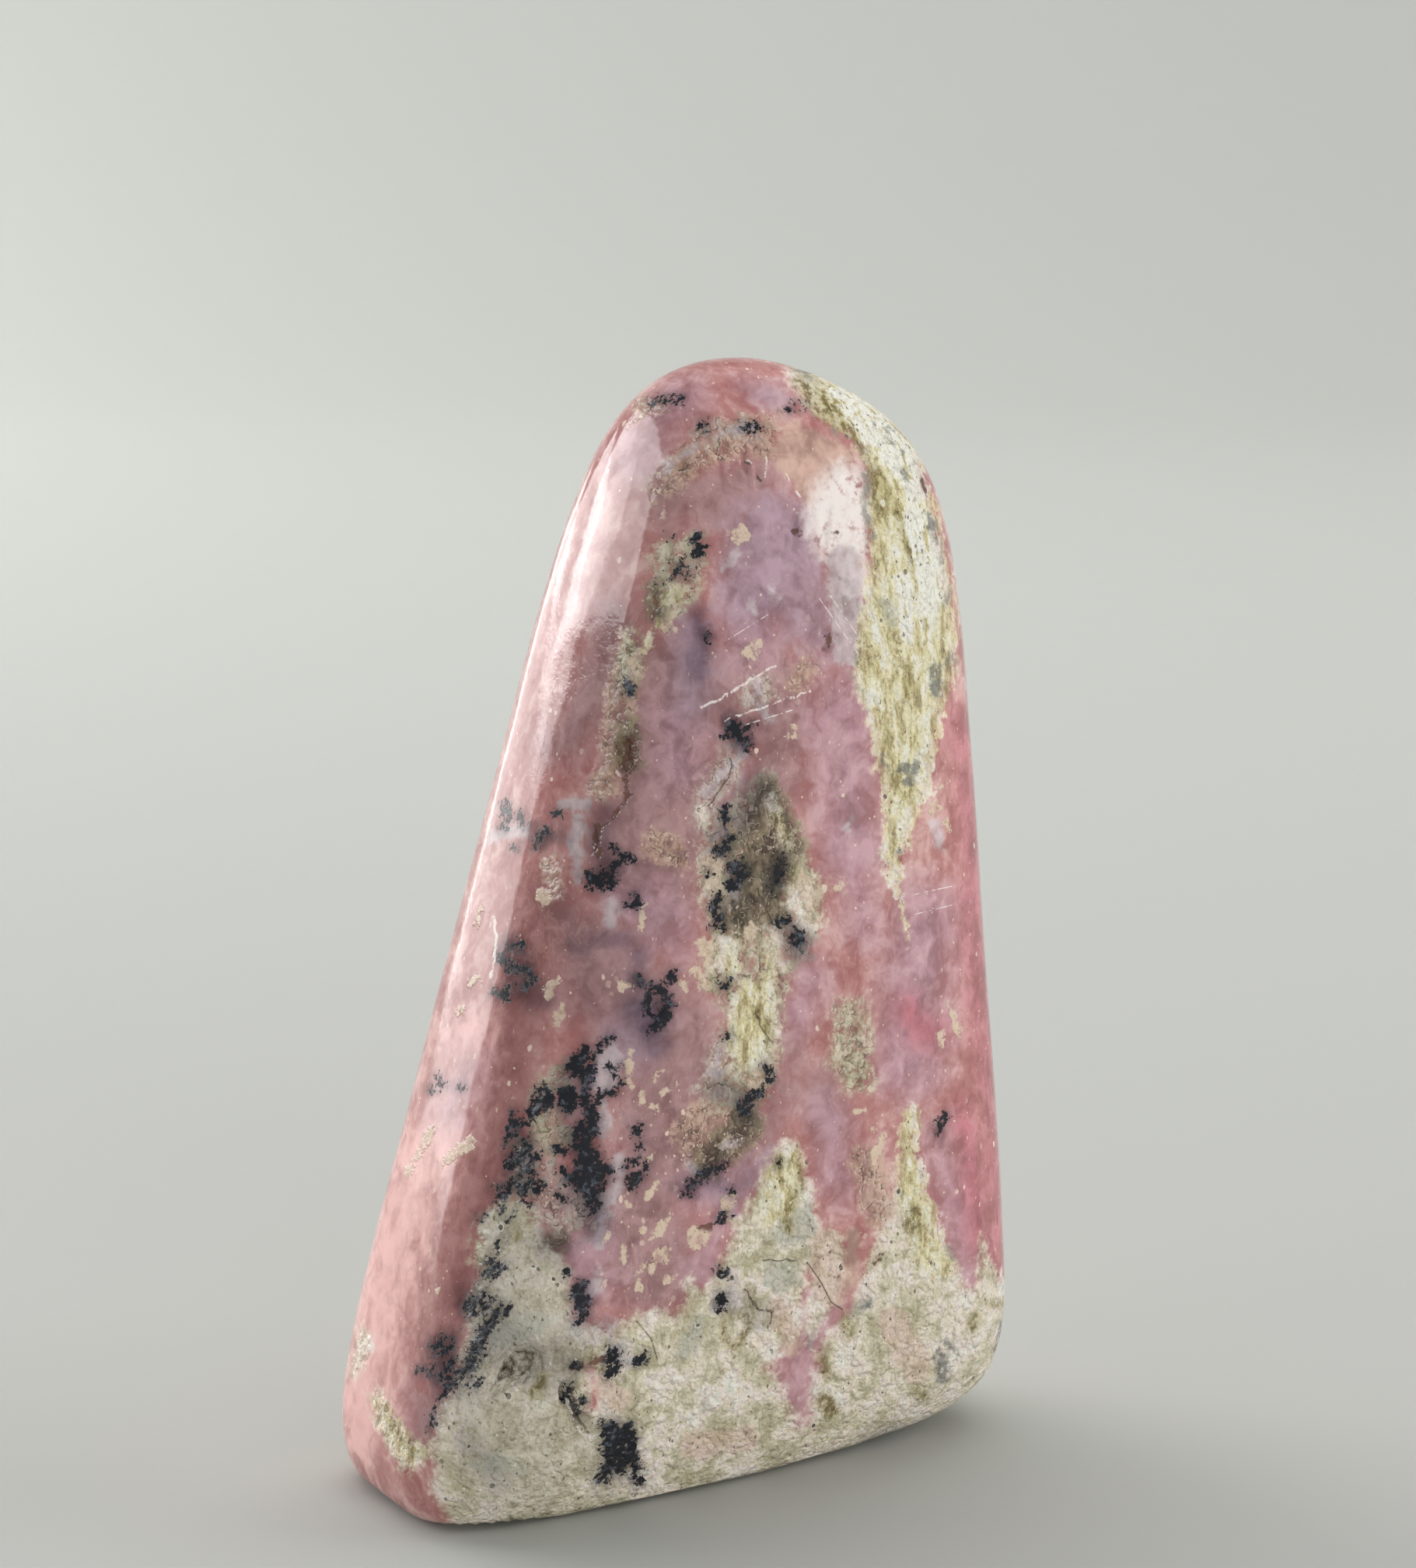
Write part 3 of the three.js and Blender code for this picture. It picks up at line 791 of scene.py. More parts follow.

# %% [markdown]
# ### Zones
# Inside a zone the stone changes its kind: splinters crowd, crusts of umber and sage grow, the
# opal turns violet or ashen or is veiled with white, the veil on the shoulder partly a painted highlight,
# and the matrix turns yellow and fibrous, or grey.

# %% Outlines of the zones
SPLINTERS = [
    stroke(110, (840, 1420), (850, 1500), (840, 1580), (850, 1640)),
    stroke(70, (790, 1640), (800, 1690)),
    stroke(60, (900, 1540), (930, 1580)),
    stroke(60, (720, 1270), (800, 1250)),
    stroke(40, (560, 1620), (570, 1680)),
]
UMBER_ZONE = [
    patch((975, 1010), (1000, 1010), (1016, 1050), (1034, 1090), (1030, 1120), (1012, 1150), (1002, 1180),
          (985, 1196), (950, 1196), (930, 1184), (944, 1150), (960, 1110), (958, 1060)),
    stroke(22, (720, 1590), (700, 1610)),
    stroke(20, (845, 764), (840, 790)),
    stroke(26, (808, 940), (806, 980)),
    stroke(34, (915, 1490), (960, 1450)),
]
SAGE_ZONE = [
    patch((985, 990), (1001, 1010), (1013, 1034), (1022, 1058), (1031, 1082), (1040, 1104), (1056, 1140),
          (1058, 1172), (1042, 1206), (1024, 1240), (1012, 1270), (1004, 1300), (1001, 1338), (996, 1380),
          (978, 1424), (950, 1440), (915, 1425), (906, 1395), (928, 1345), (940, 1300), (926, 1282),
          (905, 1270), (912, 1200), (900, 1150), (902, 1100), (925, 1060), (950, 1020)),
    patch((842, 700), (905, 690), (905, 720), (900, 762), (880, 786), (860, 796), (842, 800), (834, 770),
          (838, 736)),
    patch((620, 1566), (650, 1548), (686, 1560), (702, 1600), (690, 1650), (640, 1660), (610, 1624)),
    patch((1075, 1290), (1110, 1285), (1120, 1320), (1122, 1400), (1092, 1404), (1068, 1360)),
    stroke(26, (812, 820), (806, 870)),
    stroke(36, (700, 1430), (716, 1462)),
    stroke(30, (676, 1480), (676, 1530)),
    stroke(26, (725, 1380), (700, 1404)),
]
VIOLET_ZONE = [
    patch((940, 660), (990, 640), (1040, 650), (1056, 720), (1080, 790), (1080, 850), (1040, 840),
          (1000, 800), (950, 800), (920, 760), (925, 700)),
    stroke(50, (890, 800), (890, 900)),
    stroke(26, (962, 502), (998, 508)),
    stroke(36, (948, 1040), (958, 1010)),
    stroke(60, (830, 1300), (810, 1340)),
    stroke(40, (940, 1540), (980, 1500)),
]
ASH_ZONE = [
    patch((936, 956), (956, 975), (950, 1000), (925, 1030), (946, 1060), (930, 1100), (940, 1140),
          (905, 1110), (898, 1060), (900, 1020), (915, 985)),
    stroke(26, (926, 1350), (912, 1400)),
    stroke(50, (700, 1560), (760, 1560)),
    stroke(34, (690, 1500), (715, 1530)),
    stroke(24, (1020, 1205), (1030, 1220)),
    stroke(20, (900, 566), (960, 552)),
    stroke(30, (965, 900), (980, 890)),
]
# Partly a white veil in the opal, and partly a painted highlight on the front of the right shoulder.
VEIL_AND_HIGHLIGHT_ZONE = [
    patch((1062, 628), (1084, 606), (1100, 612), (1108, 650), (1112, 704), (1096, 724), (1070, 716),
          (1046, 668)),
    stroke(18, (1094, 720), (1098, 780)),
]
YELLOW_ZONE = [
    patch((1040, 500), (1100, 480), (1200, 570), (1250, 800), (1220, 1000), (1175, 1240), (1140, 1150),
          (1110, 900), (1090, 800), (1100, 600)),
    stroke(60, (960, 1240), (970, 1290), (960, 1340)),
    stroke(50, (1010, 1500), (1000, 1560)),
    stroke(50, (1172, 1440), (1180, 1540), (1210, 1620)),
    stroke(40, (490, 1810), (530, 1870)),
    stroke(40, (855, 750), (835, 830)),
]
GREY_ZONE = [
    stroke(150, (650, 1640), (660, 1760), (660, 1880)),
    stroke(60, (760, 1850), (780, 1900)),
]
ZONES = (SPLINTERS, VIOLET_ZONE, UMBER_ZONE, SAGE_ZONE, ASH_ZONE, VEIL_AND_HIGHLIGHT_ZONE, YELLOW_ZONE, GREY_ZONE)
print(sum(len(zone) for zone in ZONES), "outlines and strokes in the zones")

# %% [markdown]
# ## Fine lines
# Scratches cross the polish, painted highlights run along the edges of the chips, the pocket, a crack
# and a shallow dent, and hairline cracks run through the foot. All are thinner than a square of the
# mesh, so a depth can't hold them. A distance with a sign can, because it runs evenly through zero: the
# material draws the line where it is near zero, and a second field, the lane, keeps the line within its ends.

# %% Scratches, painted rim highlights and cracks
# Each is a half width in pixels, then the turns of the line.
SCRATCHES = [
    (2.2, (905, 908), (920, 902), (945, 888), (968, 872), (995, 857)),
    (1.8, (935, 925), (985, 908), (1040, 889)),
    (1.2, (962, 931), (1016, 914)), (0.8, (1056, 772), (1108, 846)), (0.8, (1070, 768), (1114, 832)),
    (0.8, (1178, 1150), (1222, 1140)), (0.8, (1180, 1175), (1224, 1164)), (0.8, (940, 820), (985, 792)),
]
# Painted highlights along edges: the chipped crown, a dent at the left, the crystal pocket and a crack.
RIM_HIGHLIGHTS = [
    (1.8, (985, 588), (1008, 602), (1030, 640), (1048, 664)), (1.6, (958, 586), (968, 596), (982, 612)),
    (2.2, (634, 1180), (637, 1215), (630, 1255)), (2.4, (640, 1745), (643, 1768), (664, 1786)),
    (2.6, (732, 1804), (738, 1824), (750, 1846), (764, 1848)),
]
CRACKS = [
    (1.3, (983, 1621), (1022, 1621)), (1.2, (1040, 1625), (1056, 1648), (1070, 1675), (1082, 1683)),
    (1.7, (959, 1659), (974, 1683), (992, 1688), (993, 1700)), (1.8, (973, 1302), (982, 1325), (994, 1342)),
    (1.6, (975, 1145), (986, 1170), (992, 1186)), (1.2, (820, 1700), (838, 1722), (845, 1745)),
    (1.9, (962, 592), (974, 608), (984, 622)), (2.2, (735, 1784), (740, 1815), (756, 1842)),
    (1.6, (935, 1004), (942, 990), (940, 978)), (1.4, (912, 1034), (924, 1018), (936, 1004)),
]
LANE = 5                              # pixels to each side
FAR_OFF = 60.0                        # pixels, where no line is near
HAIR_WIDTH = 1.2                      # finer lines than this are drawn straight


def line_fields(name, lines):
    """The side of the nearest line in half widths, and the depth inside the lane."""
    gap = np.full(len(points), FAR_OFF)
    side = np.full(len(points), FAR_OFF)
    for width, *line in lines:
        roam = 1.6 * ripple(points, 1.1, 31) + 1.2 * ripple(points, 0.6, 32) if width > HAIR_WIDTH else 0
        for (ax, ay), (bx, by) in zip(line, line[1:]):
            off = near_line(across, down, (ax, ay), (bx, by))
            signed = ((across - ax) * (by - ay) - (down - ay) * (bx - ax)) / math.hypot(bx - ax, by - ay)
            nearer = off < gap
            side[nearer] = ((signed + roam) / width)[nearer]
            gap[nearer] = off[nearer]
    return {name + " side": side, name + " lane": (LANE - gap) / PIXELS_PER_MM}


LINE_FIELDS = line_fields("scratch", SCRATCHES) | line_fields("rim", RIM_HIGHLIGHTS) | line_fields("crack", CRACKS)
print(len(SCRATCHES), "scratches,", len(RIM_HIGHLIGHTS), "rims and", len(CRACKS), "cracks")

# %% [markdown]
# ## Relief
# The polish left some places open: the crystal pocket at lower left, the crack beside it, the
# brown hollows, and pits and chips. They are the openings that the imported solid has, sunk again
# at finer relief. The surface between them also rises and falls by a few hundredths of a
# millimetre, as a hand-polished surface does, which is what breaks up its reflections.

# %% Openings of the polished front
OPENINGS = {                          # x, z, wide, tall, deep in millimetres, and lean in degrees
    "crystal pocket": (-22.2, 15, 4.2, 2.9, 1.1, -20),
    "crystal pocket end": (-23.3, 14.4, 2, 2, 1.5, 0),
    "crack head": (-18.5, 11.9, 0.9, 2.4, 0.9, -10),
    "crack foot": (-17.1, 9.4, 1.8, 1.3, 0.8, 20),
    "base pit": (-24.1, 8.1, 1.2, 1, 0.5, 0),
    "seam pit": (-5.2, 8.2, 0.9, 1.5, 0.6, -12),
    "upper seam pit": (-4.6, 17.6, 1, 1.2, 0.5, 10),
    "ring pit": (-9.8, 43.5, 1.7, 2.4, 0.5, -8),
    "brown hollow": (-10.5, 63.9, 1.3, 3, 0.7, 4),
    "lower brown hollow": (-13.4, 57.1, 1, 2.4, 0.6, 8),
    "round pit": (-6.6, 73.9, 0.9, 0.8, 0.4, 0),
    "oval pit": (5.6, 81, 0.9, 1.7, 0.5, 10),
    "wedge chip": (2.3, 86.3, 0.8, 2.9, 0.5, -38),
    "crown pit": (8.6, 81.2, 1.1, 0.9, 0.4, 30),
    "paired pit": (7.6, 72.6, 0.7, 0.8, 0.35, 0),
    "paired pit below": (7.5, 71.4, 0.8, 0.7, 0.35, 20),
}


def opening(x, z, wide, tall, deep, lean):
    """How deep a rounded hollow with a ragged rim is at each point of the front."""
    turn = math.radians(lean)
    aside, above = points[:, 0] - x, points[:, 2] - z
    along = (aside * math.cos(turn) - above * math.sin(turn)) / (wide / 2)
    upward = (aside * math.sin(turn) + above * math.cos(turn)) / (tall / 2)
    ragged = 1 + 0.25 * ripple(points, 1.3, 11)
    inward = np.clip(1 - (along ** 2 + upward ** 2) * ragged, 0, 1)
    return deep * np.sqrt(inward) * (points[:, 1] < 0)


sunk = np.zeros(len(points))
for name, sizes in OPENINGS.items():
    sunk = np.maximum(sunk, opening(*sizes))
    print(name, "is", round(float(sunk.max()), 2), "mm at the deepest so far")

# %% [markdown]
# ### Chips, undercut matrix and hand waviness
# The crown lost a thin flake, whose edge catches the light. The matrix lies a hair lower than
# the opal around it. Both come from the same fields as the colours.

# %% Chips and waviness
FLAKES = [
    patch((990, 590), (1002, 560), (1036, 552), (1090, 575), (1100, 604), (1076, 612), (1056, 642),
          (1036, 655), (1022, 622), (1006, 602)),
    patch((900, 575), (930, 560), (975, 560), (988, 588), (955, 582), (925, 592)),
]
FLAKE_DEPTH, MATRIX_DEPTH = 0.1, 0.035
WAVE_HEIGHT, RIPPLE_HEIGHT = 0.05, 0.012
EDGE_FADE = 0.2                       # flakes fade out towards the visible edge
RELIEF_START = 3                      # millimetres above the floor where relief is at its full


def step_up(values, width):
    """A soft step from nothing to one around zero."""
    t = np.clip(values / width + 0.5, 0, 1)
    return t * t * (3 - 2 * t)


seen = np.clip(facing / EDGE_FADE, 0, 1)
flake_field = field(FLAKES)
off_base = np.clip(points[:, 2] / RELIEF_START, 0, 1)
hollowed = sunk + FLAKE_DEPTH * step_up(flake_field, 0.5) * seen
hollowed += MATRIX_DEPTH * step_up(matrix_field, 0.6) * (1 + ripple(points, 2.2, 21))
hollowed += WAVE_HEIGHT * (1 + ripple(points, 17, 7)) + RIPPLE_HEIGHT * (1 + ripple(points, 5, 8))
points -= normals * (hollowed * off_base)[:, None]
print("deepest relief", round(float(hollowed.max()), 2), "mm")

# %% [markdown]
# ### Pinks that the photograph doesn't show
# The red of the right edge, partly painted shade where the edge turns away, would run over the
# whole side if its stroke were simply carried on.
# It is let fade past the edge that can be seen, and wide clouds of mauve and dusk take over, as
# they do in the middle of the front.

# %% Softer pinks where the photograph doesn't reach
CLOUD_DEPTH, CLOUD_GAP = 5, 1.4       # millimetres deep inside a cloud, and between two
KEPT_OFF_FRONT = 12                   # millimetres that a cloud sinks on the front
ROSE_SHADE_FADE = 6                         # millimetres that the rose sinks on the unseen side
past_edge = np.clip((0.2 * ripple(points, 13, 53) - facing) / TURNED_AWAY, 0, 1)


def unseen_clouds(size, seed):
    """A field of clouds that keeps to the unseen side."""
    return CLOUD_DEPTH * ripple(points, size, seed) - CLOUD_GAP - KEPT_OFF_FRONT * (1 - past_edge)


rose_and_shade_field = field(ROSE_AND_EDGE_SHADE) - ROSE_SHADE_FADE * past_edge
mauve_field = np.maximum(field(MAUVE), unseen_clouds(21, 51))
dusk_field = np.maximum(field(DUSK), unseen_clouds(27, 52))
print(round(float((mauve_field > 0).mean()) * 100), "% of the stone is mauve")

# %% [markdown]
# ## The mesh
# Blender takes the points and squares as they are. Each field goes in as a named attribute, one
# number to a point, where the material can read it.

# %% Stone mesh with its fields
FIELDS = {
    "matrix": matrix_field,
    "olive": field(OLIVE),
    "chalk": field(CHALK),
    "moss": field(MOSS),
    "glassy": field(GLASSY_GREY),
    "dendrite": field(DENDRITES),
    "smoke": field(SMOKE),
    "cream": field(CREAM),
    "lilac": field(LILAC),
    "mauve": mauve_field,
    "rose_and_edge_shade": rose_and_shade_field,
    "painted_sheen": field(PAINTED_SHEEN),
    "deep": field(INNER_EDGE_SHADE),
    "dusk": dusk_field,
    "tan": field(TAN),
    "peach": field(PEACH),
    "brown": field(BROWN),
    "splinters": field(SPLINTERS),
    "umber": field(UMBER_ZONE),
    "violet": field(VIOLET_ZONE),
    "sage": field(SAGE_ZONE),
    "ash": field(ASH_ZONE),
    "veil_and_highlight": field(VEIL_AND_HIGHLIGHT_ZONE),
    "yellow": field(YELLOW_ZONE),
    "grey": field(GREY_ZONE),
    "sunk": sunk,
    **LINE_FIELDS,
}


def stone_mesh(name):
    mesh = bpy.data.meshes.new(name)
    mesh.vertices.add(len(points))
    mesh.vertices.foreach_set("co", (points * MM).ravel())
    mesh.loops.add(4 * len(squares))
    mesh.loops.foreach_set("vertex_index", squares.ravel())
    mesh.polygons.add(len(squares))
    mesh.polygons.foreach_set("loop_start", np.arange(len(squares)) * 4)
    mesh.polygons.foreach_set("use_smooth", np.ones(len(squares), bool))
    mesh.update(calc_edges=True)
    for field_name, values in FIELDS.items():
        layer = mesh.attributes.new(field_name, "FLOAT", "POINT")
        layer.data.foreach_set("value", values.astype(np.float32))
    return mesh


stone = bpy.data.objects.new("polished_opal", stone_mesh("polished_opal"))
scene.collection.objects.link(stone)
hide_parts("stone")
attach(stone, "root")
print("the mesh needed no repair:", not stone.data.validate(), "and it carries", len(FIELDS), "fields")


# %% [markdown]
# ## A short hand for shader nodes
# A material like this has many small steps. The class below adds a node and gives back its
# output, so that a step reads as a line of sums. A plain number is set on the socket itself.

# %% Node helper
def linear(red, green, blue):
    """A colour as the eye reads it on a screen, from 0 to 255, turned to light."""
    light = [(c / 255 / 12.92) if c <= 10 else ((c / 255 + 0.055) / 1.055) ** 2.4 for c in (red, green, blue)]
    return (*light, 1)


class Sheet:
    """A node tree that is written on one step at a time."""

    def __init__(self, tree):
        self.tree = tree

    def put(self, value, socket):
        if isinstance(value, bpy.types.NodeSocket):
            self.tree.links.new(value, socket)
        else:
            socket.default_value = value

    def node(self, kind, **settings):
        made = self.tree.nodes.new("ShaderNode" + kind)
        for name, value in settings.items():
            setattr(made, name, value)
        return made

    def sum(self, operation, a, b=0.0, clamp=False):
        made = self.node("Math", operation=operation, use_clamp=clamp)
        self.put(a, made.inputs[0])
        self.put(b, made.inputs[1])
        return made.outputs[0]

    def times(self, *values):
        total = values[0]
        for value in values[1:]:
            total = self.sum("MULTIPLY", total, value)
        return total

    def plus(self, *values):
        total = values[0]
        for value in values[1:]:
            total = self.sum("ADD", total, value)
        return total

    def field(self, name):
        return self.node("Attribute", attribute_name=name).outputs["Fac"]

    def between(self, value, start, end, first=0.0, last=1.0):
        """A soft step: first where the value is at start, last where it is at end."""
        made = self.node("MapRange", interpolation_type="SMOOTHSTEP")
        for given, socket in zip((value, start, end, first, last), made.inputs):
            self.put(given, socket)
        return made.outputs["Result"]

    def mix(self, amount, first, second, blend="MIX"):
        """A Mix node has sockets for each kind of value, and 6, 7 and 2 are its colours."""
        made = self.node("Mix", data_type="RGBA", blend_type=blend)
        self.put(amount, made.inputs[0])
        self.put(first, made.inputs[6])
        self.put(second, made.inputs[7])
        return made.outputs[2]

    def ramp(self, value, *stops):
        made = self.node("ValToRGB")
        self.put(value, made.inputs[0])
        elements = made.color_ramp.elements
        while len(elements) < len(stops):
            elements.new(0.5)
        for element, (place, colour) in zip(elements, stops):
            element.position = place
            element.color = colour
        return made.outputs[0]

    def noise(self, where, size, detail=2.0, rough=0.5):
        made = self.node("TexNoise")
        self.put(where, made.inputs["Vector"])
        made.inputs["Scale"].default_value = 1 / size
        made.inputs["Detail"].default_value = detail
        made.inputs["Roughness"].default_value = rough
        return made.outputs["Fac"]

    def wander(self, where, size, amount):
        """The same place, pushed about by a noise of a given size."""
        push = self.node("TexNoise")
        self.put(where, push.inputs["Vector"])
        push.inputs["Scale"].default_value = 1 / size
        push.inputs["Detail"].default_value = 1.0
        made = self.node("VectorMath", operation="MULTIPLY_ADD")
        self.put(push.outputs["Color"], made.inputs[0])
        made.inputs[1].default_value = (amount,) * 3
        self.put(where, made.inputs[2])
        return made.outputs[0]

    def cells(self, where, size):
        made = self.node("TexVoronoi")
        self.put(where, made.inputs["Vector"])
        made.inputs["Scale"].default_value = 1 / size
        return made

    def stretch(self, where, scale, turn=0.0):
        made = self.node("Mapping")
        self.put(where, made.inputs["Vector"])
        made.inputs["Rotation"].default_value = (0, turn, 0)
        made.inputs["Scale"].default_value = scale
        return made.outputs[0]


# %% [markdown]
# ### Two effects that are used again and again
# A frayed mark cuts a field at zero, lets noise push the cut in and out, and softens it. Flecks
# are splinters, each a cell of its own that is kept or dropped by chance.

# %% Frayed mark group
def new_group(name, inputs, outputs):
    group = bpy.data.node_groups.new(name, "ShaderNodeTree")
    for label, kind in inputs:
        group.interface.new_socket(label, in_out="INPUT", socket_type="NodeSocket" + kind)
    for label, kind in outputs:
        group.interface.new_socket(label, in_out="OUTPUT", socket_type="NodeSocket" + kind)
    sheet = Sheet(group)
    return group, sheet, group.nodes.new("NodeGroupInput").outputs, group.nodes.new("NodeGroupOutput").inputs


frayed, sheet, given, result = new_group(
    "frayed mark",
    [("Field", "Float"), ("Noise", "Float"), ("Fray", "Float"), ("Soft", "Float")],
    [("Mask", "Float")])
push = sheet.times(sheet.sum("SUBTRACT", given["Noise"], 0.5), given["Fray"])
moved = sheet.plus(given["Field"], push)
half = sheet.times(given["Soft"], 0.5)
sheet.put(sheet.between(moved, sheet.times(half, -1.0), half), result["Mask"])
print("frayed mark group has", len(frayed.nodes), "nodes")

# %% Fleck group
flecks, sheet, given, result = new_group(
    "flecks",
    [("Where", "Vector"), ("Share", "Float"), ("Size", "Float"), ("Noise", "Float")],
    [("Mask", "Float"), ("Tone", "Float"), ("Rim", "Float")])
cell = sheet.cells(given["Where"], 1.0)
chance = sheet.node("SeparateColor")
sheet.put(cell.outputs["Color"], chance.inputs[0])
kept = sheet.sum("LESS_THAN", chance.outputs[0], given["Share"])
grown = sheet.between(chance.outputs[2], 0.0, 1.0, 0.6, 1.3)
edge = sheet.times(given["Size"], sheet.plus(given["Noise"], 0.5), grown)
body = sheet.between(cell.outputs["Distance"], edge, sheet.times(edge, 0.75))
sheet.put(sheet.times(kept, body), result["Mask"])
ring = sheet.between(cell.outputs["Distance"], sheet.times(edge, 1.6), sheet.times(edge, 1.15))
sheet.put(sheet.times(kept, sheet.sum("SUBTRACT", ring, body, True)), result["Rim"])
sheet.put(chance.outputs[1], result["Tone"])
print("fleck group has", len(flecks.nodes), "nodes")

# %% [markdown]
# ## The opal's material
# One Principled BSDF carries the whole stone, because it is one polished surface. The colour is
# built from the bottom up, as the stone is: first the pinks, then what floats in them, then the
# matrix with its stains, then the dendrites on top. Roughness and bump follow the same masks:
# the opal is glossy, and the matrix is duller and pitted.

# %% Start the material and its noises
opal = bpy.data.materials.new("pink opal")
opal.use_nodes = True
opal.node_tree.nodes.clear()
s = Sheet(opal.node_tree)

metres = s.node("TexCoord").outputs["Object"]
scaled = s.node("VectorMath", operation="SCALE")
s.put(metres, scaled.inputs[0])
scaled.inputs["Scale"].default_value = 1 / MM
here = scaled.outputs[0]
swirled = s.wander(here, 2.2, 2.6)
shaken = s.wander(here, 0.5, 0.42)

broad = s.noise(here, 9, 2)
middle = s.noise(swirled, 3.0, 3, 0.6)
fine = s.noise(here, 0.9, 3, 0.66)
lacy = s.noise(here, 0.5, 4, 0.74)
grainy = s.noise(here, 0.22, 1, 0.6)
flowing = s.noise(s.stretch(swirled, (1, 1, 0.36), 0.25), 1.5, 4, 0.62)
fibres = s.noise(s.stretch(shaken, (1, 1, 0.26), 0.14), 0.85, 4, 0.7)
crumbly = s.plus(s.times(fine, 0.5), s.times(fibres, 0.4), s.times(lacy, 0.1))
rough = s.plus(s.noise(here, 1.5, 2, 0.55), s.times(lacy, 0.16), -0.08)
creased = s.sum("ABSOLUTE", s.sum("SUBTRACT", rough, 0.5))
print("eight noises, in millimetres")


# %% Masks from the fields
def group_node(group, **given):
    made = s.node("Group")
    made.node_tree = group
    for name, value in given.items():
        s.put(value, made.inputs[name])
    return made.outputs


def mark(name, noise, fray, soft, grow=0.0):
    value = s.field(name)
    if grow:
        value = s.plus(value, grow)
    return group_node(frayed, Field=value, Noise=noise, Fray=fray, Soft=soft)["Mask"]


def scatter(where, share, size, noise):
    made = group_node(flecks, Where=where, Share=share, Size=size, Noise=noise)
    return made["Mask"], made["Tone"], made["Rim"]


torn = s.plus(s.times(fine, 0.6), s.times(middle, 0.4))
in_grey = mark("grey", broad, 3.0, 3.0)
in_yellow = mark("yellow", broad, 2.0, 1.5)
softness = s.plus(0.85, s.times(in_yellow, -0.5), s.times(in_grey, 0.5))
in_matrix = mark("matrix", torn, 3.6, softness)
deep_matrix = mark("matrix", torn, 3.4, 1.6, -0.5)
in_olive = mark("olive", torn, 2.6, 0.7)
in_chalk = mark("chalk", fibres, 2.2, 0.5)
in_moss = mark("moss", fine, 2.0, 0.6)
in_glassy = mark("glassy", torn, 2.4, 0.8)
in_dendrite = mark("dendrite", lacy, 3.2, 0.14, 0.1)
dendrite_haze = mark("dendrite", fine, 1.6, 1.5, 0.3)
in_smoke = mark("smoke", torn, 4.0, 1.8, 0.1)
in_cream = mark("cream", fine, 1.6, 0.22)
in_lilac = mark("lilac", torn, 2.4, 0.6)
in_mauve = mark("mauve", middle, 5.0, 4.4)
in_violet = mark("violet", middle, 4.0, 3.0)
in_rose_and_shade = mark("rose_and_edge_shade", middle, 3.0, 3.4)
in_dusk = mark("dusk", middle, 6.0, 4.4)
in_painted_sheen = mark("painted_sheen", middle, 5.0, 4.0)
in_inner_edge_shade = mark("deep", middle, 5.0, 4.0)
in_tan = mark("tan", torn, 3.6, 1.2)
in_peach = mark("peach", torn, 2.4, 0.5)
in_brown = mark("brown", fine, 1.4, 0.2)
in_splinters = mark("splinters", broad, 3.0, 2.5)
in_umber = mark("umber", torn, 4.4, 1.2, 0.3)
in_sage = mark("sage", torn, 4.0, 1.3, 0.1)
in_ash = mark("ash", torn, 4.4, 1.4, 0.1)
in_veil_and_highlight = mark("veil_and_highlight", torn, 3.0, 2.2, 0.6)
print("masks made")

# %% [markdown]
# ### The pinks
# The pink is milky silica with clearer, deeper patches, so one noise runs it from deep to milky.
# Dusk, mauve and violet are laid over it through their soft masks. A deeper salmon inside the left
# edge is painted shade, a paler salmon down the lower left edge is painted reflection, and the rose at
# the right edge is partly its own colour and partly painted shade. Where a noise passes through its
# middle value it leaves a branching line, which gives the pale wisps in the opal.

# %% Pink body
DEEP_PINK = linear(176, 116, 113)
BODY_PINK = linear(199, 144, 140)
MILKY_PINK = linear(228, 187, 181)
PAINTED_SHEEN_SALMON = linear(254, 202, 196)
SHADED_SALMON = linear(178, 122, 118)
DUSKY = linear(184, 145, 147)
MAUVE_PINK = linear(212, 170, 182)
EDGE_SHADE_ROSE = linear(206, 121, 132)
VIOLET = linear(190, 162, 176)
tone = s.plus(s.times(middle, 0.56), s.times(flowing, 0.24), s.times(fine, 0.14), s.times(lacy, 0.06))
pink = s.ramp(tone, (0.4, DEEP_PINK), (0.5, BODY_PINK), (0.6, MILKY_PINK))
cloudy = s.ramp(
    tone, (0.4, linear(194, 190, 190)), (0.5, linear(230, 229, 229)), (0.6, linear(255, 255, 255)))


def tinted(amount, strength, base, tint):
    """A tint laid over the base, clouded as the pink is."""
    return s.mix(s.times(amount, strength), base, s.mix(1.0, tint, cloudy, "MULTIPLY"))


pink = tinted(in_dusk, 0.85, pink, DUSKY)
# Painted shade: the deep field darkens the pink just inside the left edge.
pink = tinted(in_inner_edge_shade, 0.8, pink, SHADED_SALMON)
# Painted reflection: the paler salmon down the lower left edge.
pink = s.mix(s.times(in_painted_sheen, s.between(tone, 0.4, 0.6, 0.6, 0.95)), pink, PAINTED_SHEEN_SALMON)
pink = tinted(in_mauve, 0.8, pink, MAUVE_PINK)
pink = tinted(in_violet, 0.75, pink, VIOLET)
# Partly the stone's own rose, and partly painted shade along the right edge.
pink = tinted(in_rose_and_shade, 0.85, pink, EDGE_SHADE_ROSE)


def ridges(noise, width, centre=0.5):
    """Branching lines, where a noise passes through a value."""
    return s.between(s.sum("ABSOLUTE", s.sum("SUBTRACT", noise, centre)), width, 0.0)


wisps = s.sum("MAXIMUM", ridges(flowing, 0.05, 0.54), ridges(middle, 0.03, 0.56))
pink = s.mix(s.times(wisps, s.between(broad, 0.45, 0.6, 0.0, 0.16)), pink, MILKY_PINK)
print("pink body laid")

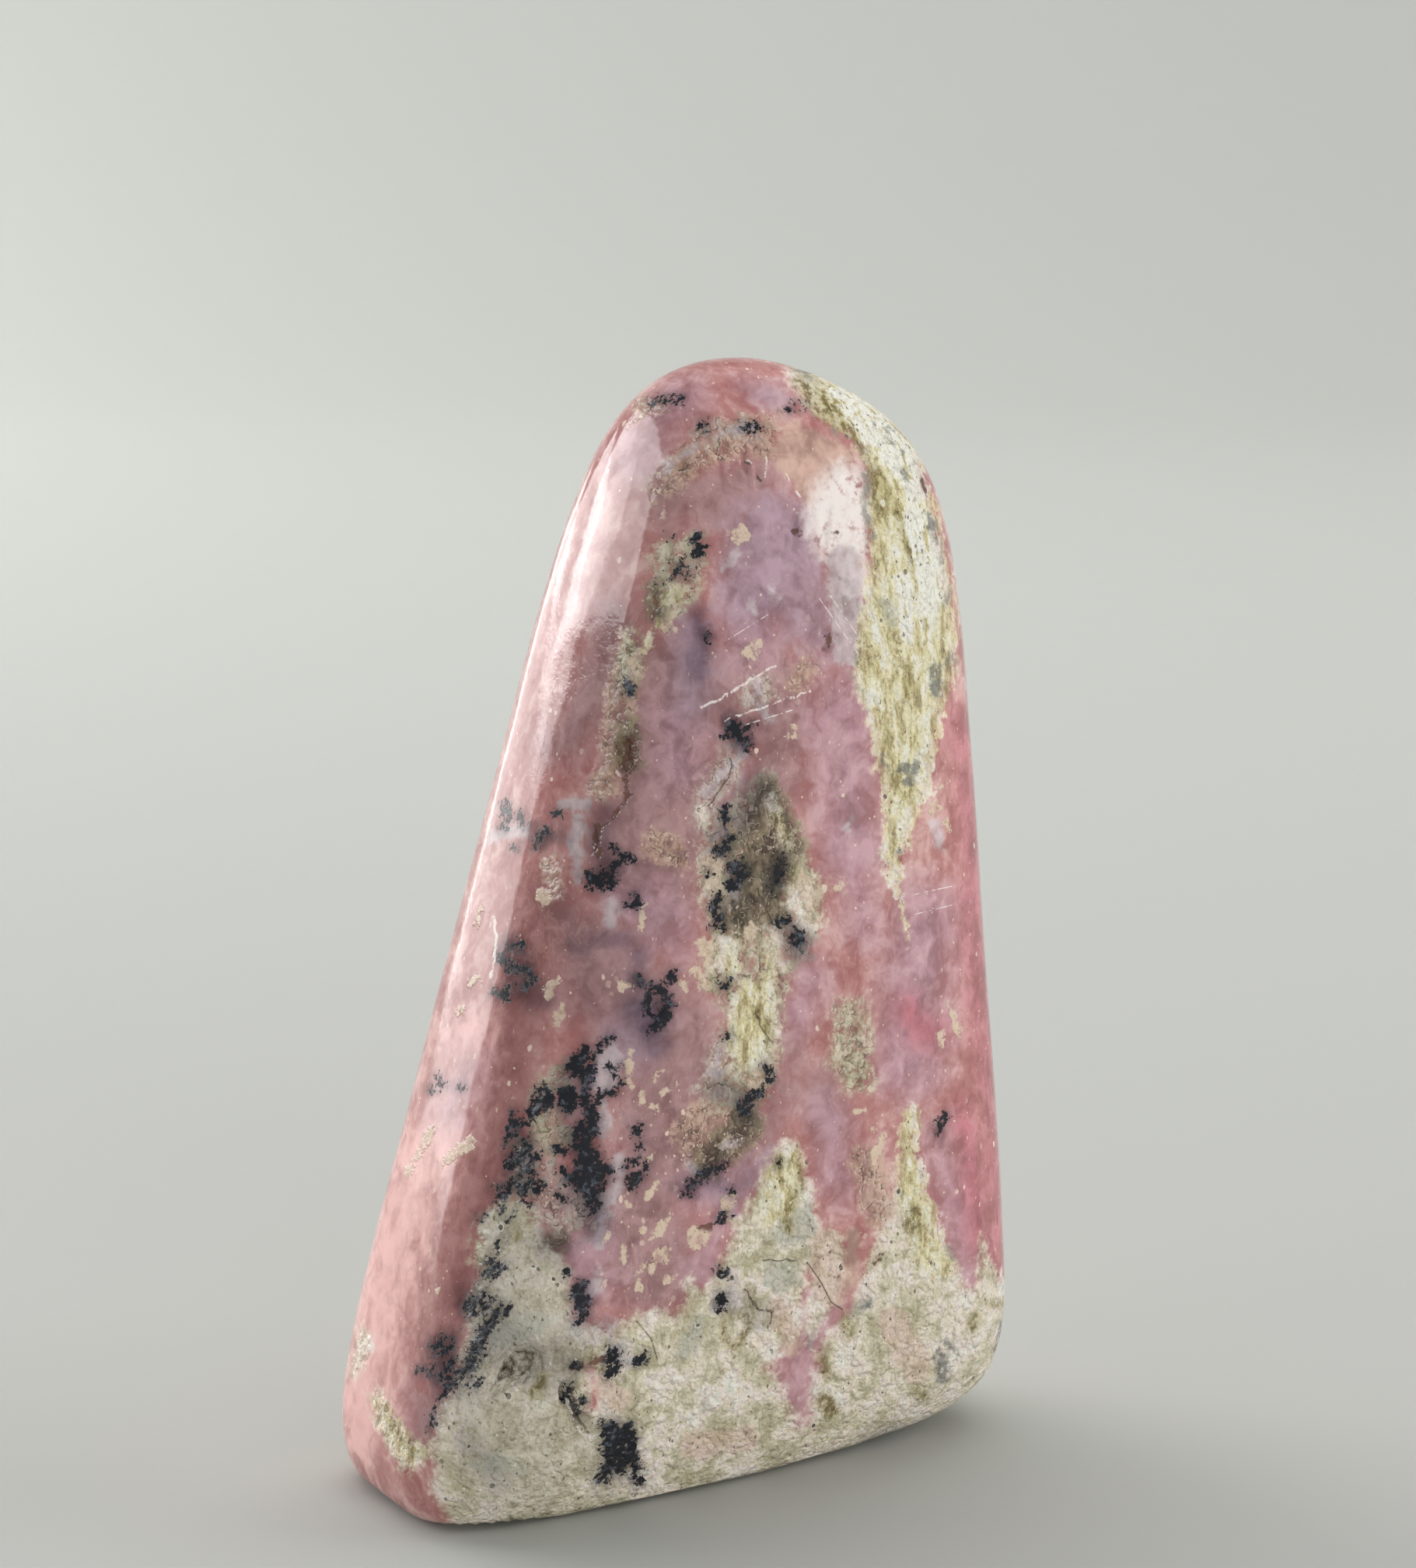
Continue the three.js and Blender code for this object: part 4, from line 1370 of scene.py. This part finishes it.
# %% [markdown]
# ### What floats in the pink
# Tan, peach, sage and umber clouds, smoke, lilac glass and ash, then the splinters, which crowd
# above the foot of the stone.

# %% Clouds, smoke and splinters
TAN_CLOUD = linear(210, 176, 158)
PEACH_CLOUD = linear(226, 190, 172)
SMOKE_BLUE = linear(150, 148, 164)
LILAC_GLASS = linear(228, 212, 214)
SPLINTER_WHITE_AND_HIGHLIGHT = linear(240, 216, 198)
WHITE_AND_HIGHLIGHT = linear(255, 244, 238)
VEIL_AND_HIGHLIGHT_PINK = linear(240, 208, 198)
SAGE_DARK = linear(142, 130, 98)
SAGE_GREY = linear(190, 180, 150)
SAGE_PALE = linear(226, 214, 190)
CRACK_DARK_AND_CREASE_SHADE = linear(66, 58, 50)
ASH_GREY = linear(214, 196, 186)
UMBER_DARK = linear(70, 62, 50)
UMBER = linear(122, 108, 88)
UMBER_PALE = linear(172, 156, 124)
crumbs = s.ramp(
    crumbly, (0.4, linear(172, 162, 152)), (0.48, linear(228, 223, 216)), (0.56, linear(255, 255, 255)))
patches = s.plus(s.times(flowing, 0.5), s.times(fine, 0.4), s.times(lacy, 0.1))
patchy = s.between(patches, 0.42, 0.54, 0.35, 1.0)


def crusty(amount, base, tint):
    """A tint laid over the base in crumbs and patches."""
    return s.mix(s.times(amount, patchy), base, s.mix(1.0, tint, crumbs, "MULTIPLY"))


clouded = crusty(in_tan, pink, TAN_CLOUD)
clouded = tinted(in_peach, 0.8, clouded, PEACH_CLOUD)
sage = s.ramp(crumbly, (0.4, SAGE_DARK), (0.48, SAGE_GREY), (0.58, SAGE_PALE))
clouded = s.mix(s.times(in_sage, patchy), clouded, sage)
cores = s.plus(s.times(crumbly, 0.7), s.times(middle, 0.3))
umber = s.ramp(cores, (0.43, UMBER_DARK), (0.5, UMBER), (0.6, UMBER_PALE))
clouded = s.mix(s.times(in_umber, 0.9), clouded, umber)
clouded = crusty(in_ash, clouded, ASH_GREY)
in_crust = in_tan
for other in (in_ash, in_umber, in_sage):
    in_crust = s.sum("MAXIMUM", in_crust, other)
# Dark cracks along the creases of the bump, partly painted shade in those creases.
crease_crack_and_shade = s.times(s.between(creased, 0.028, 0.008), s.between(lacy, 0.42, 0.54))
clouded = s.mix(s.times(in_crust, crease_crack_and_shade, 0.65), clouded, CRACK_DARK_AND_CREASE_SHADE)
# A pale line along one flank of each crease is a painted highlight.
crested = s.sum("ABSOLUTE", s.sum("SUBTRACT", rough, 0.54))
crest_highlight = s.times(s.between(crested, 0.024, 0.006), s.between(lacy, 0.42, 0.54))
clouded = s.mix(s.times(in_crust, crest_highlight, 0.5), clouded, SPLINTER_WHITE_AND_HIGHLIGHT)
# The veil is partly a painted highlight on the shoulder.
veil_and_highlight = s.mix(s.between(torn, 0.38, 0.5), s.mix(1.0, VEIL_AND_HIGHLIGHT_PINK, cloudy, "MULTIPLY"), WHITE_AND_HIGHLIGHT)
clouded = s.mix(s.times(in_veil_and_highlight, s.between(patchy, 0.35, 0.7, 0.86, 0.97)), clouded, veil_and_highlight)
clouded = tinted(in_lilac, 0.8, clouded, LILAC_GLASS)
crowd = s.between(in_splinters, 0.0, 1.0, 0.07, 0.42)
small, small_tone, _ = scatter(s.stretch(shaken, (1.2, 1.2, 0.9), 0.6), crowd, 0.25, fine)
clouded = s.mix(s.times(small, s.between(small_tone, 0.0, 1.0, 0.2, 0.95)), clouded, SPLINTER_WHITE_AND_HIGHLIGHT)
speck_share = s.plus(s.between(in_splinters, 0.0, 1.0, 0.12, 0.3), s.times(in_crust, 0.3))
speck, speck_tone, _ = scatter(s.stretch(shaken, (3.0, 3.0, 2.1), -0.5), speck_share, 0.26, grainy)
clouded = s.mix(s.times(speck, s.between(speck_tone, 0.1, 1.0, 0.1, 0.9)), clouded, SPLINTER_WHITE_AND_HIGHLIGHT)
print("clouds and splinters laid")

# %% [markdown]
# ### The matrix
# Cloudy patches of cream, grey-green and pinkish white lie against each other. In the band on the
# shoulder they are drawn out into fibres. Pits go in last, darkened inside as painted shade and ringed
# with a painted highlight, and then dark grains and white crumbs, the white ones partly painted glints.

# %% Matrix colours
STONE_SHADE = linear(204, 195, 164)
CREAM_STONE = linear(248, 237, 215)
GREEN_GREY = linear(224, 216, 190)
PINK_WHITE = linear(254, 240, 229)
OLIVE_BROWN = linear(168, 152, 106)
DEEP_YELLOW = linear(216, 203, 150)
YELLOW_CREAM = linear(246, 236, 192)
CHALK_AND_GLINT_WHITE = linear(255, 252, 238)
OLIVE_STAIN = linear(186, 172, 112)
DARK_OLIVE = linear(118, 104, 70)
MOSS_GREY = linear(122, 124, 120)
GLASS_GREY = linear(198, 197, 180)
ASHEN_GREEN = linear(224, 218, 198)
DARK_BROWN_AND_PIT_SHADE = linear(90, 74, 58)
cloud = s.plus(s.times(s.noise(swirled, 3.0, 4, 0.62), 0.85), s.times(fine, 0.15))
rock = s.ramp(
    cloud, (0.39, STONE_SHADE), (0.45, GREEN_GREY), (0.5, CREAM_STONE), (0.56, PINK_WHITE),
    (0.63, CHALK_AND_GLINT_WHITE))
rock = s.mix(s.times(ridges(cloud, 0.012, 0.47), s.between(broad, 0.45, 0.6), 0.25), rock, DEEP_YELLOW)
# Olive-brown lines along the bump's creases, partly painted shade.
rock = s.mix(s.times(crease_crack_and_shade, s.between(broad, 0.42, 0.55), 0.3), rock, OLIVE_BROWN)
strand = s.plus(s.times(fibres, 0.55), s.times(flowing, 0.45))
yellow_rock = s.ramp(
    strand, (0.4, OLIVE_BROWN), (0.45, DEEP_YELLOW), (0.5, YELLOW_CREAM), (0.58, CHALK_AND_GLINT_WHITE))
rock = s.mix(s.times(in_yellow, 0.9), rock, yellow_rock)
rock = s.mix(s.times(in_grey, 0.65), rock, s.mix(1.0, ASHEN_GREEN, s.mix(0.5, cloudy, crumbs), "MULTIPLY"))
rock = s.mix(s.times(in_peach, 0.45), rock, PEACH_CLOUD)
rock = s.mix(s.times(in_glassy, 0.75), rock, GLASS_GREY)
rock = s.mix(s.times(in_olive, s.between(crumbly, 0.42, 0.56, 0.9, 0.45)), rock, OLIVE_STAIN)
rock = s.mix(s.times(in_olive, s.between(crumbly, 0.53, 0.44), 0.8), rock, DARK_OLIVE)
rock = s.mix(in_chalk, rock, s.mix(s.between(fibres, 0.38, 0.46), DEEP_YELLOW, CHALK_AND_GLINT_WHITE))
rock = s.mix(s.times(in_moss, 0.8), rock, MOSS_GREY)
dust = s.plus(s.times(lacy, 0.7), s.times(grainy, 0.3))
grain = s.ramp(
    dust, (0.34, linear(206, 199, 186)), (0.43, linear(248, 246, 242)), (0.5, linear(255, 255, 255)))
rock = s.mix(1.0, rock, grain, "MULTIPLY")
pit_share = s.between(fine, 0.48, 0.62, 0.04, 0.4)
pit, pit_tone, pit_rim_highlight = scatter(s.stretch(here, (1.0, 1.0, 0.85), 0.3), pit_share, 0.2, lacy)
# Painted shade inside the pits, and a painted highlight on their rims.
rock = s.mix(s.times(pit, s.between(pit_tone, 0.0, 1.0, 0.2, 0.9)), rock, DARK_BROWN_AND_PIT_SHADE)
rock = s.mix(s.times(pit_rim_highlight, s.between(pit_tone, 0.3, 1.0, 0.0, 0.8)), rock, CHALK_AND_GLINT_WHITE)
# Dark grains and white crumbs; the white crumbs are partly painted glints.
grit_and_glint_share = s.plus(0.16, s.times(in_chalk, 0.3))
grit_and_glints, grit_and_glint_tone, _ = scatter(s.stretch(shaken, (2.6, 2.6, 1.9), -0.4), grit_and_glint_share, 0.3, grainy)
rock = s.mix(s.times(grit_and_glints, 0.75), rock, s.mix(s.between(grit_and_glint_tone, 0.5, 0.7), DARK_BROWN_AND_PIT_SHADE, CHALK_AND_GLINT_WHITE))
print("matrix laid")

# %% Lay matrix, flecks, stains and dendrites over the pink
FLECK_CREAM = linear(230, 208, 184)
RUST = linear(116, 78, 64)
BLACK_OXIDE = linear(30, 32, 39)
GREY_OXIDE = linear(88, 94, 104)
HAZE_BLUE = linear(148, 144, 152)
over = s.times(in_matrix, s.between(deep_matrix, 0.0, 1.0, 0.66, 1.0))
colour = s.mix(over, clouded, rock)
colour = s.mix(s.times(in_smoke, s.between(over, 0.0, 1.0, 0.7, 0.4)), colour, SMOKE_BLUE, "MULTIPLY")
fleck = s.mix(1.0, FLECK_CREAM, grain, "MULTIPLY")
colour = s.mix(s.times(in_cream, s.between(fine, 0.36, 0.54, 0.35, 0.9)), colour, fleck)
colour = s.mix(s.times(in_brown, 0.9), colour, RUST)
colour = s.mix(s.times(dendrite_haze, 0.75), colour, HAZE_BLUE, "MULTIPLY")
oxide = s.mix(s.between(fine, 0.54, 0.68), BLACK_OXIDE, GREY_OXIDE)
whole = s.between(s.plus(s.times(fine, 0.4), s.times(lacy, 0.6)), 0.4, 0.44, 0.1, 1.0)
colour = s.mix(s.times(in_dendrite, whole), colour, oxide)
# The pocket's crystals are lighter at their middles and darker between them: painted highlight and painted
# shadow.
crystal = s.cells(here, 0.6).outputs["Distance"]
in_pocket = s.between(s.field("sunk"), 0.7, 0.9)
PALE_CRYSTAL_AND_GLINT = linear(216, 208, 192)
CRYSTAL_GREY = linear(160, 149, 130)
CRYSTAL_SHADE = linear(76, 68, 60)
crystals = s.ramp(crystal, (0.3, PALE_CRYSTAL_AND_GLINT), (0.6, CRYSTAL_GREY), (0.9, CRYSTAL_SHADE))
colour = s.mix(in_pocket, colour, crystals)
print("colour complete")

# %% Lay scratches, painted rim highlights and cracks over the colour
def fine_line(name):
    """Thin lines of a set: near the line, and within its own half width of either side."""
    on = s.between(s.sum("ABSOLUTE", s.field(name + " side")), 1.0, 0.4)
    return s.times(on, s.between(s.field(name + " lane"), 0.0, 0.12))


cracked = s.times(fine_line("crack"), s.between(lacy, 0.4, 0.5, 0.3, 1.0))
rim_highlight = s.times(fine_line("rim"), s.between(lacy, 0.4, 0.5))
scratched = s.times(fine_line("scratch"), s.between(lacy, 0.44, 0.5))
colour = s.mix(s.times(cracked, 0.7), colour, DARK_BROWN_AND_PIT_SHADE)
# Painted highlights along the rims, then white scratches.
colour = s.mix(s.times(rim_highlight, 0.8), colour, WHITE_AND_HIGHLIGHT)
colour = s.mix(s.times(scratched, 0.8), colour, WHITE_AND_HIGHLIGHT)
print("fine lines laid")

# %% [markdown]
# ### Gloss and fine relief
# Opal bends light less than quartz does, so its gloss is soft. A little light is also scattered
# under the surface, which gives the waxy glow. The bump is measured in metres, so pits and
# crumbs have real depths.

# %% Principled BSDF of the opal
RELIEF = 0.0001                       # metres, for a height of one
shine = s.node("BsdfPrincipled")
s.put(colour, shine.inputs["Base Color"])
dull = s.plus(
    s.times(in_matrix, s.between(fine, 0.4, 0.6, 0.22, 0.04)),
    s.times(in_dendrite, 0.15), s.times(in_cream, 0.12), s.times(in_pocket, 0.3))
smear = s.between(flowing, 0.35, 0.7, 0.045, 0.09)
s.put(s.sum("ADD", smear, dull, True), shine.inputs["Roughness"])
shine.inputs["IOR"].default_value = 1.45
shine.inputs["Subsurface Weight"].default_value = 0.12
shine.inputs["Subsurface Radius"].default_value = (1.0, 0.5, 0.4)
shine.inputs["Subsurface Scale"].default_value = 0.0015
rocky = s.between(s.field("matrix"), -0.2, 0.5)
crust = s.field("tan")
for name in ("ash", "umber", "sage"):
    crust = s.sum("MAXIMUM", crust, s.field(name))
raised = s.sum("MAXIMUM", s.times(s.between(crust, -0.5, 1.0), 0.9), rocky)
height = s.plus(
    s.times(raised, s.plus(s.times(creased, 14.0), s.times(fine, 3.4), -2.5)),
    s.times(pit, rocky, -3.0),
    s.times(cracked, -1.2),
    s.times(in_cream, fine, 0.9),
    s.times(in_dendrite, -0.5),
    s.times(in_brown, -1.2),
    s.times(in_pocket, s.plus(s.times(grainy, 6.0), -4.0)),
    s.times(fine, 0.12))
bump = s.node("Bump")
bump.inputs["Strength"].default_value = 1.0
bump.inputs["Distance"].default_value = RELIEF
s.put(height, bump.inputs["Height"])
s.put(bump.outputs[0], shine.inputs["Normal"])
finish_node = s.node("OutputMaterial")
s.put(shine.outputs[0], finish_node.inputs["Surface"])
stone.data.materials.append(opal)
print("the material has", len(opal.node_tree.nodes), "nodes")

# %% [markdown]
# ## Studio
# A pale sweep of paper runs back and up behind the stone without a corner. What a polished
# stone mirrors matters as much as what lights it. Four bright panels stand to its left for the
# gloss alone, and their upright edges draw the line where the rounded side turns into the face.
# Softer lamps light the stone and the paper, and aren't mirrored.

# %% Pale floor and backdrop
FLOOR_HALF_WIDTH, FLOOR_FRONT, FLOOR_BACK = 3.0, -2.0, 0.9    # metres from the stone
SWEEP, WALL_TOP = 0.6, 1.8            # radius of the bend and height of the paper
UNDER_STONE = 0.0001                  # the paper lies a hair below the foot
PAPER_WHITE = linear(181, 182, 177)


def sweep_profile():
    turns = [math.radians(a) for a in range(0, 91, 6)]
    curve = [(FLOOR_BACK + SWEEP * math.sin(a), SWEEP * (1 - math.cos(a))) for a in turns]
    return [(FLOOR_FRONT, 0.0), (0.0, 0.0)] + curve + [(FLOOR_BACK + SWEEP, WALL_TOP)]


def place_backdrop(profile):
    turn = np.array([[right[0], -right[1]], [right[1], right[0]]])
    spots = []
    for side in (-FLOOR_HALF_WIDTH, FLOOR_HALF_WIDTH):
        for away, height in profile:
            spots.append((*(turn @ np.array([side, away])), height - UNDER_STONE))
    count = len(profile)
    faces = [(i, i + count, i + count + 1, i + 1) for i in range(count - 1)]
    mesh = bpy.data.meshes.new("floor")
    mesh.from_pydata(spots, [], faces)
    mesh.polygons.foreach_set("use_smooth", [True] * len(faces))
    made = bpy.data.objects.new("floor", mesh)
    scene.collection.objects.link(made)
    return made


floor = place_backdrop(sweep_profile())
paper = bpy.data.materials.new("pale paper")
paper.use_nodes = True
paper_shader = paper.node_tree.nodes["Principled BSDF"]
paper_shader.inputs["Base Color"].default_value = PAPER_WHITE
paper_shader.inputs["Roughness"].default_value = 0.95
floor.data.materials.append(paper)
print("floor", [round(v, 2) for v in floor.dimensions])


# %% Soft lamps and gloss panels
PANEL_AIM = np.array([0, 0, 0.05])     # half way up the stone


def panel(name, azimuth, elevation, wide, tall, brightness, gloss=False, lean=0.0, distance=1.3):
    """A panel that looks at the stone. Azimuth is counted from the camera, to its right."""
    turn, rise, roll = AZIMUTH + math.radians(azimuth), math.radians(elevation), math.radians(lean)
    out = np.array([math.sin(turn) * math.cos(rise), -math.cos(turn) * math.cos(rise), math.sin(rise)])
    side = np.array([math.cos(turn), math.sin(turn), 0])
    top = np.cross(out, side)
    lamp = bpy.data.lights.new(name, "AREA")
    lamp.shape = "RECTANGLE"
    lamp.size, lamp.size_y = wide, tall
    lamp.energy = brightness * math.pi * wide * tall
    made = bpy.data.objects.new(name, lamp)
    across_panel = side * math.cos(roll) + top * math.sin(roll)
    up_panel = top * math.cos(roll) - side * math.sin(roll)
    made.matrix_world = standing(across_panel, up_panel, out, PANEL_AIM + out * distance)
    made.visible_camera = False
    made.visible_glossy = gloss
    made.visible_diffuse = not gloss
    scene.collection.objects.link(made)
    return made


# Azimuth and elevation in degrees, width and height in metres, and brightness
panel("gloss low", -132, 2, 1.0, 0.27, 2.7, gloss=True)
panel("gloss corner", -128, 13, 0.6, 0.3, 3.2, gloss=True)
panel("gloss tall", -88, 34, 2.03, 0.84, 5.2, gloss=True, lean=12)
panel("gloss slant", -102, 21, 0.8, 0.3, 3.0, gloss=True, lean=36)
panel("left key", -128, 8, 0.9, 0.5, 13.6, distance=1.4)
panel("fill", 26, 10, 1.4, 0.8, 4.1, distance=2.2)
panel("right key", 95, 16, 0.9, 0.9, 3.4, distance=1.4)
panel("ceiling", 180, 66, 2.0, 1.2, 2.6, distance=1.6)
world = bpy.data.worlds.new("studio")
world.use_nodes = True
scene.world = world
around = world.node_tree.nodes["Background"]
COOL_WHITE = (0.95, 0.97, 1.0, 1)
around.inputs["Color"].default_value = COOL_WHITE
around.inputs["Strength"].default_value = 0.3
scene.view_settings.view_transform = "Standard"

# %% [markdown]
# ## Finish
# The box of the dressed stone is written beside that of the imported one, so that the two can be
# compared after each render.

# %% Write the sizes and finish
print("stone", [round(v / MM, 1) for v in stone.dimensions], "mm")
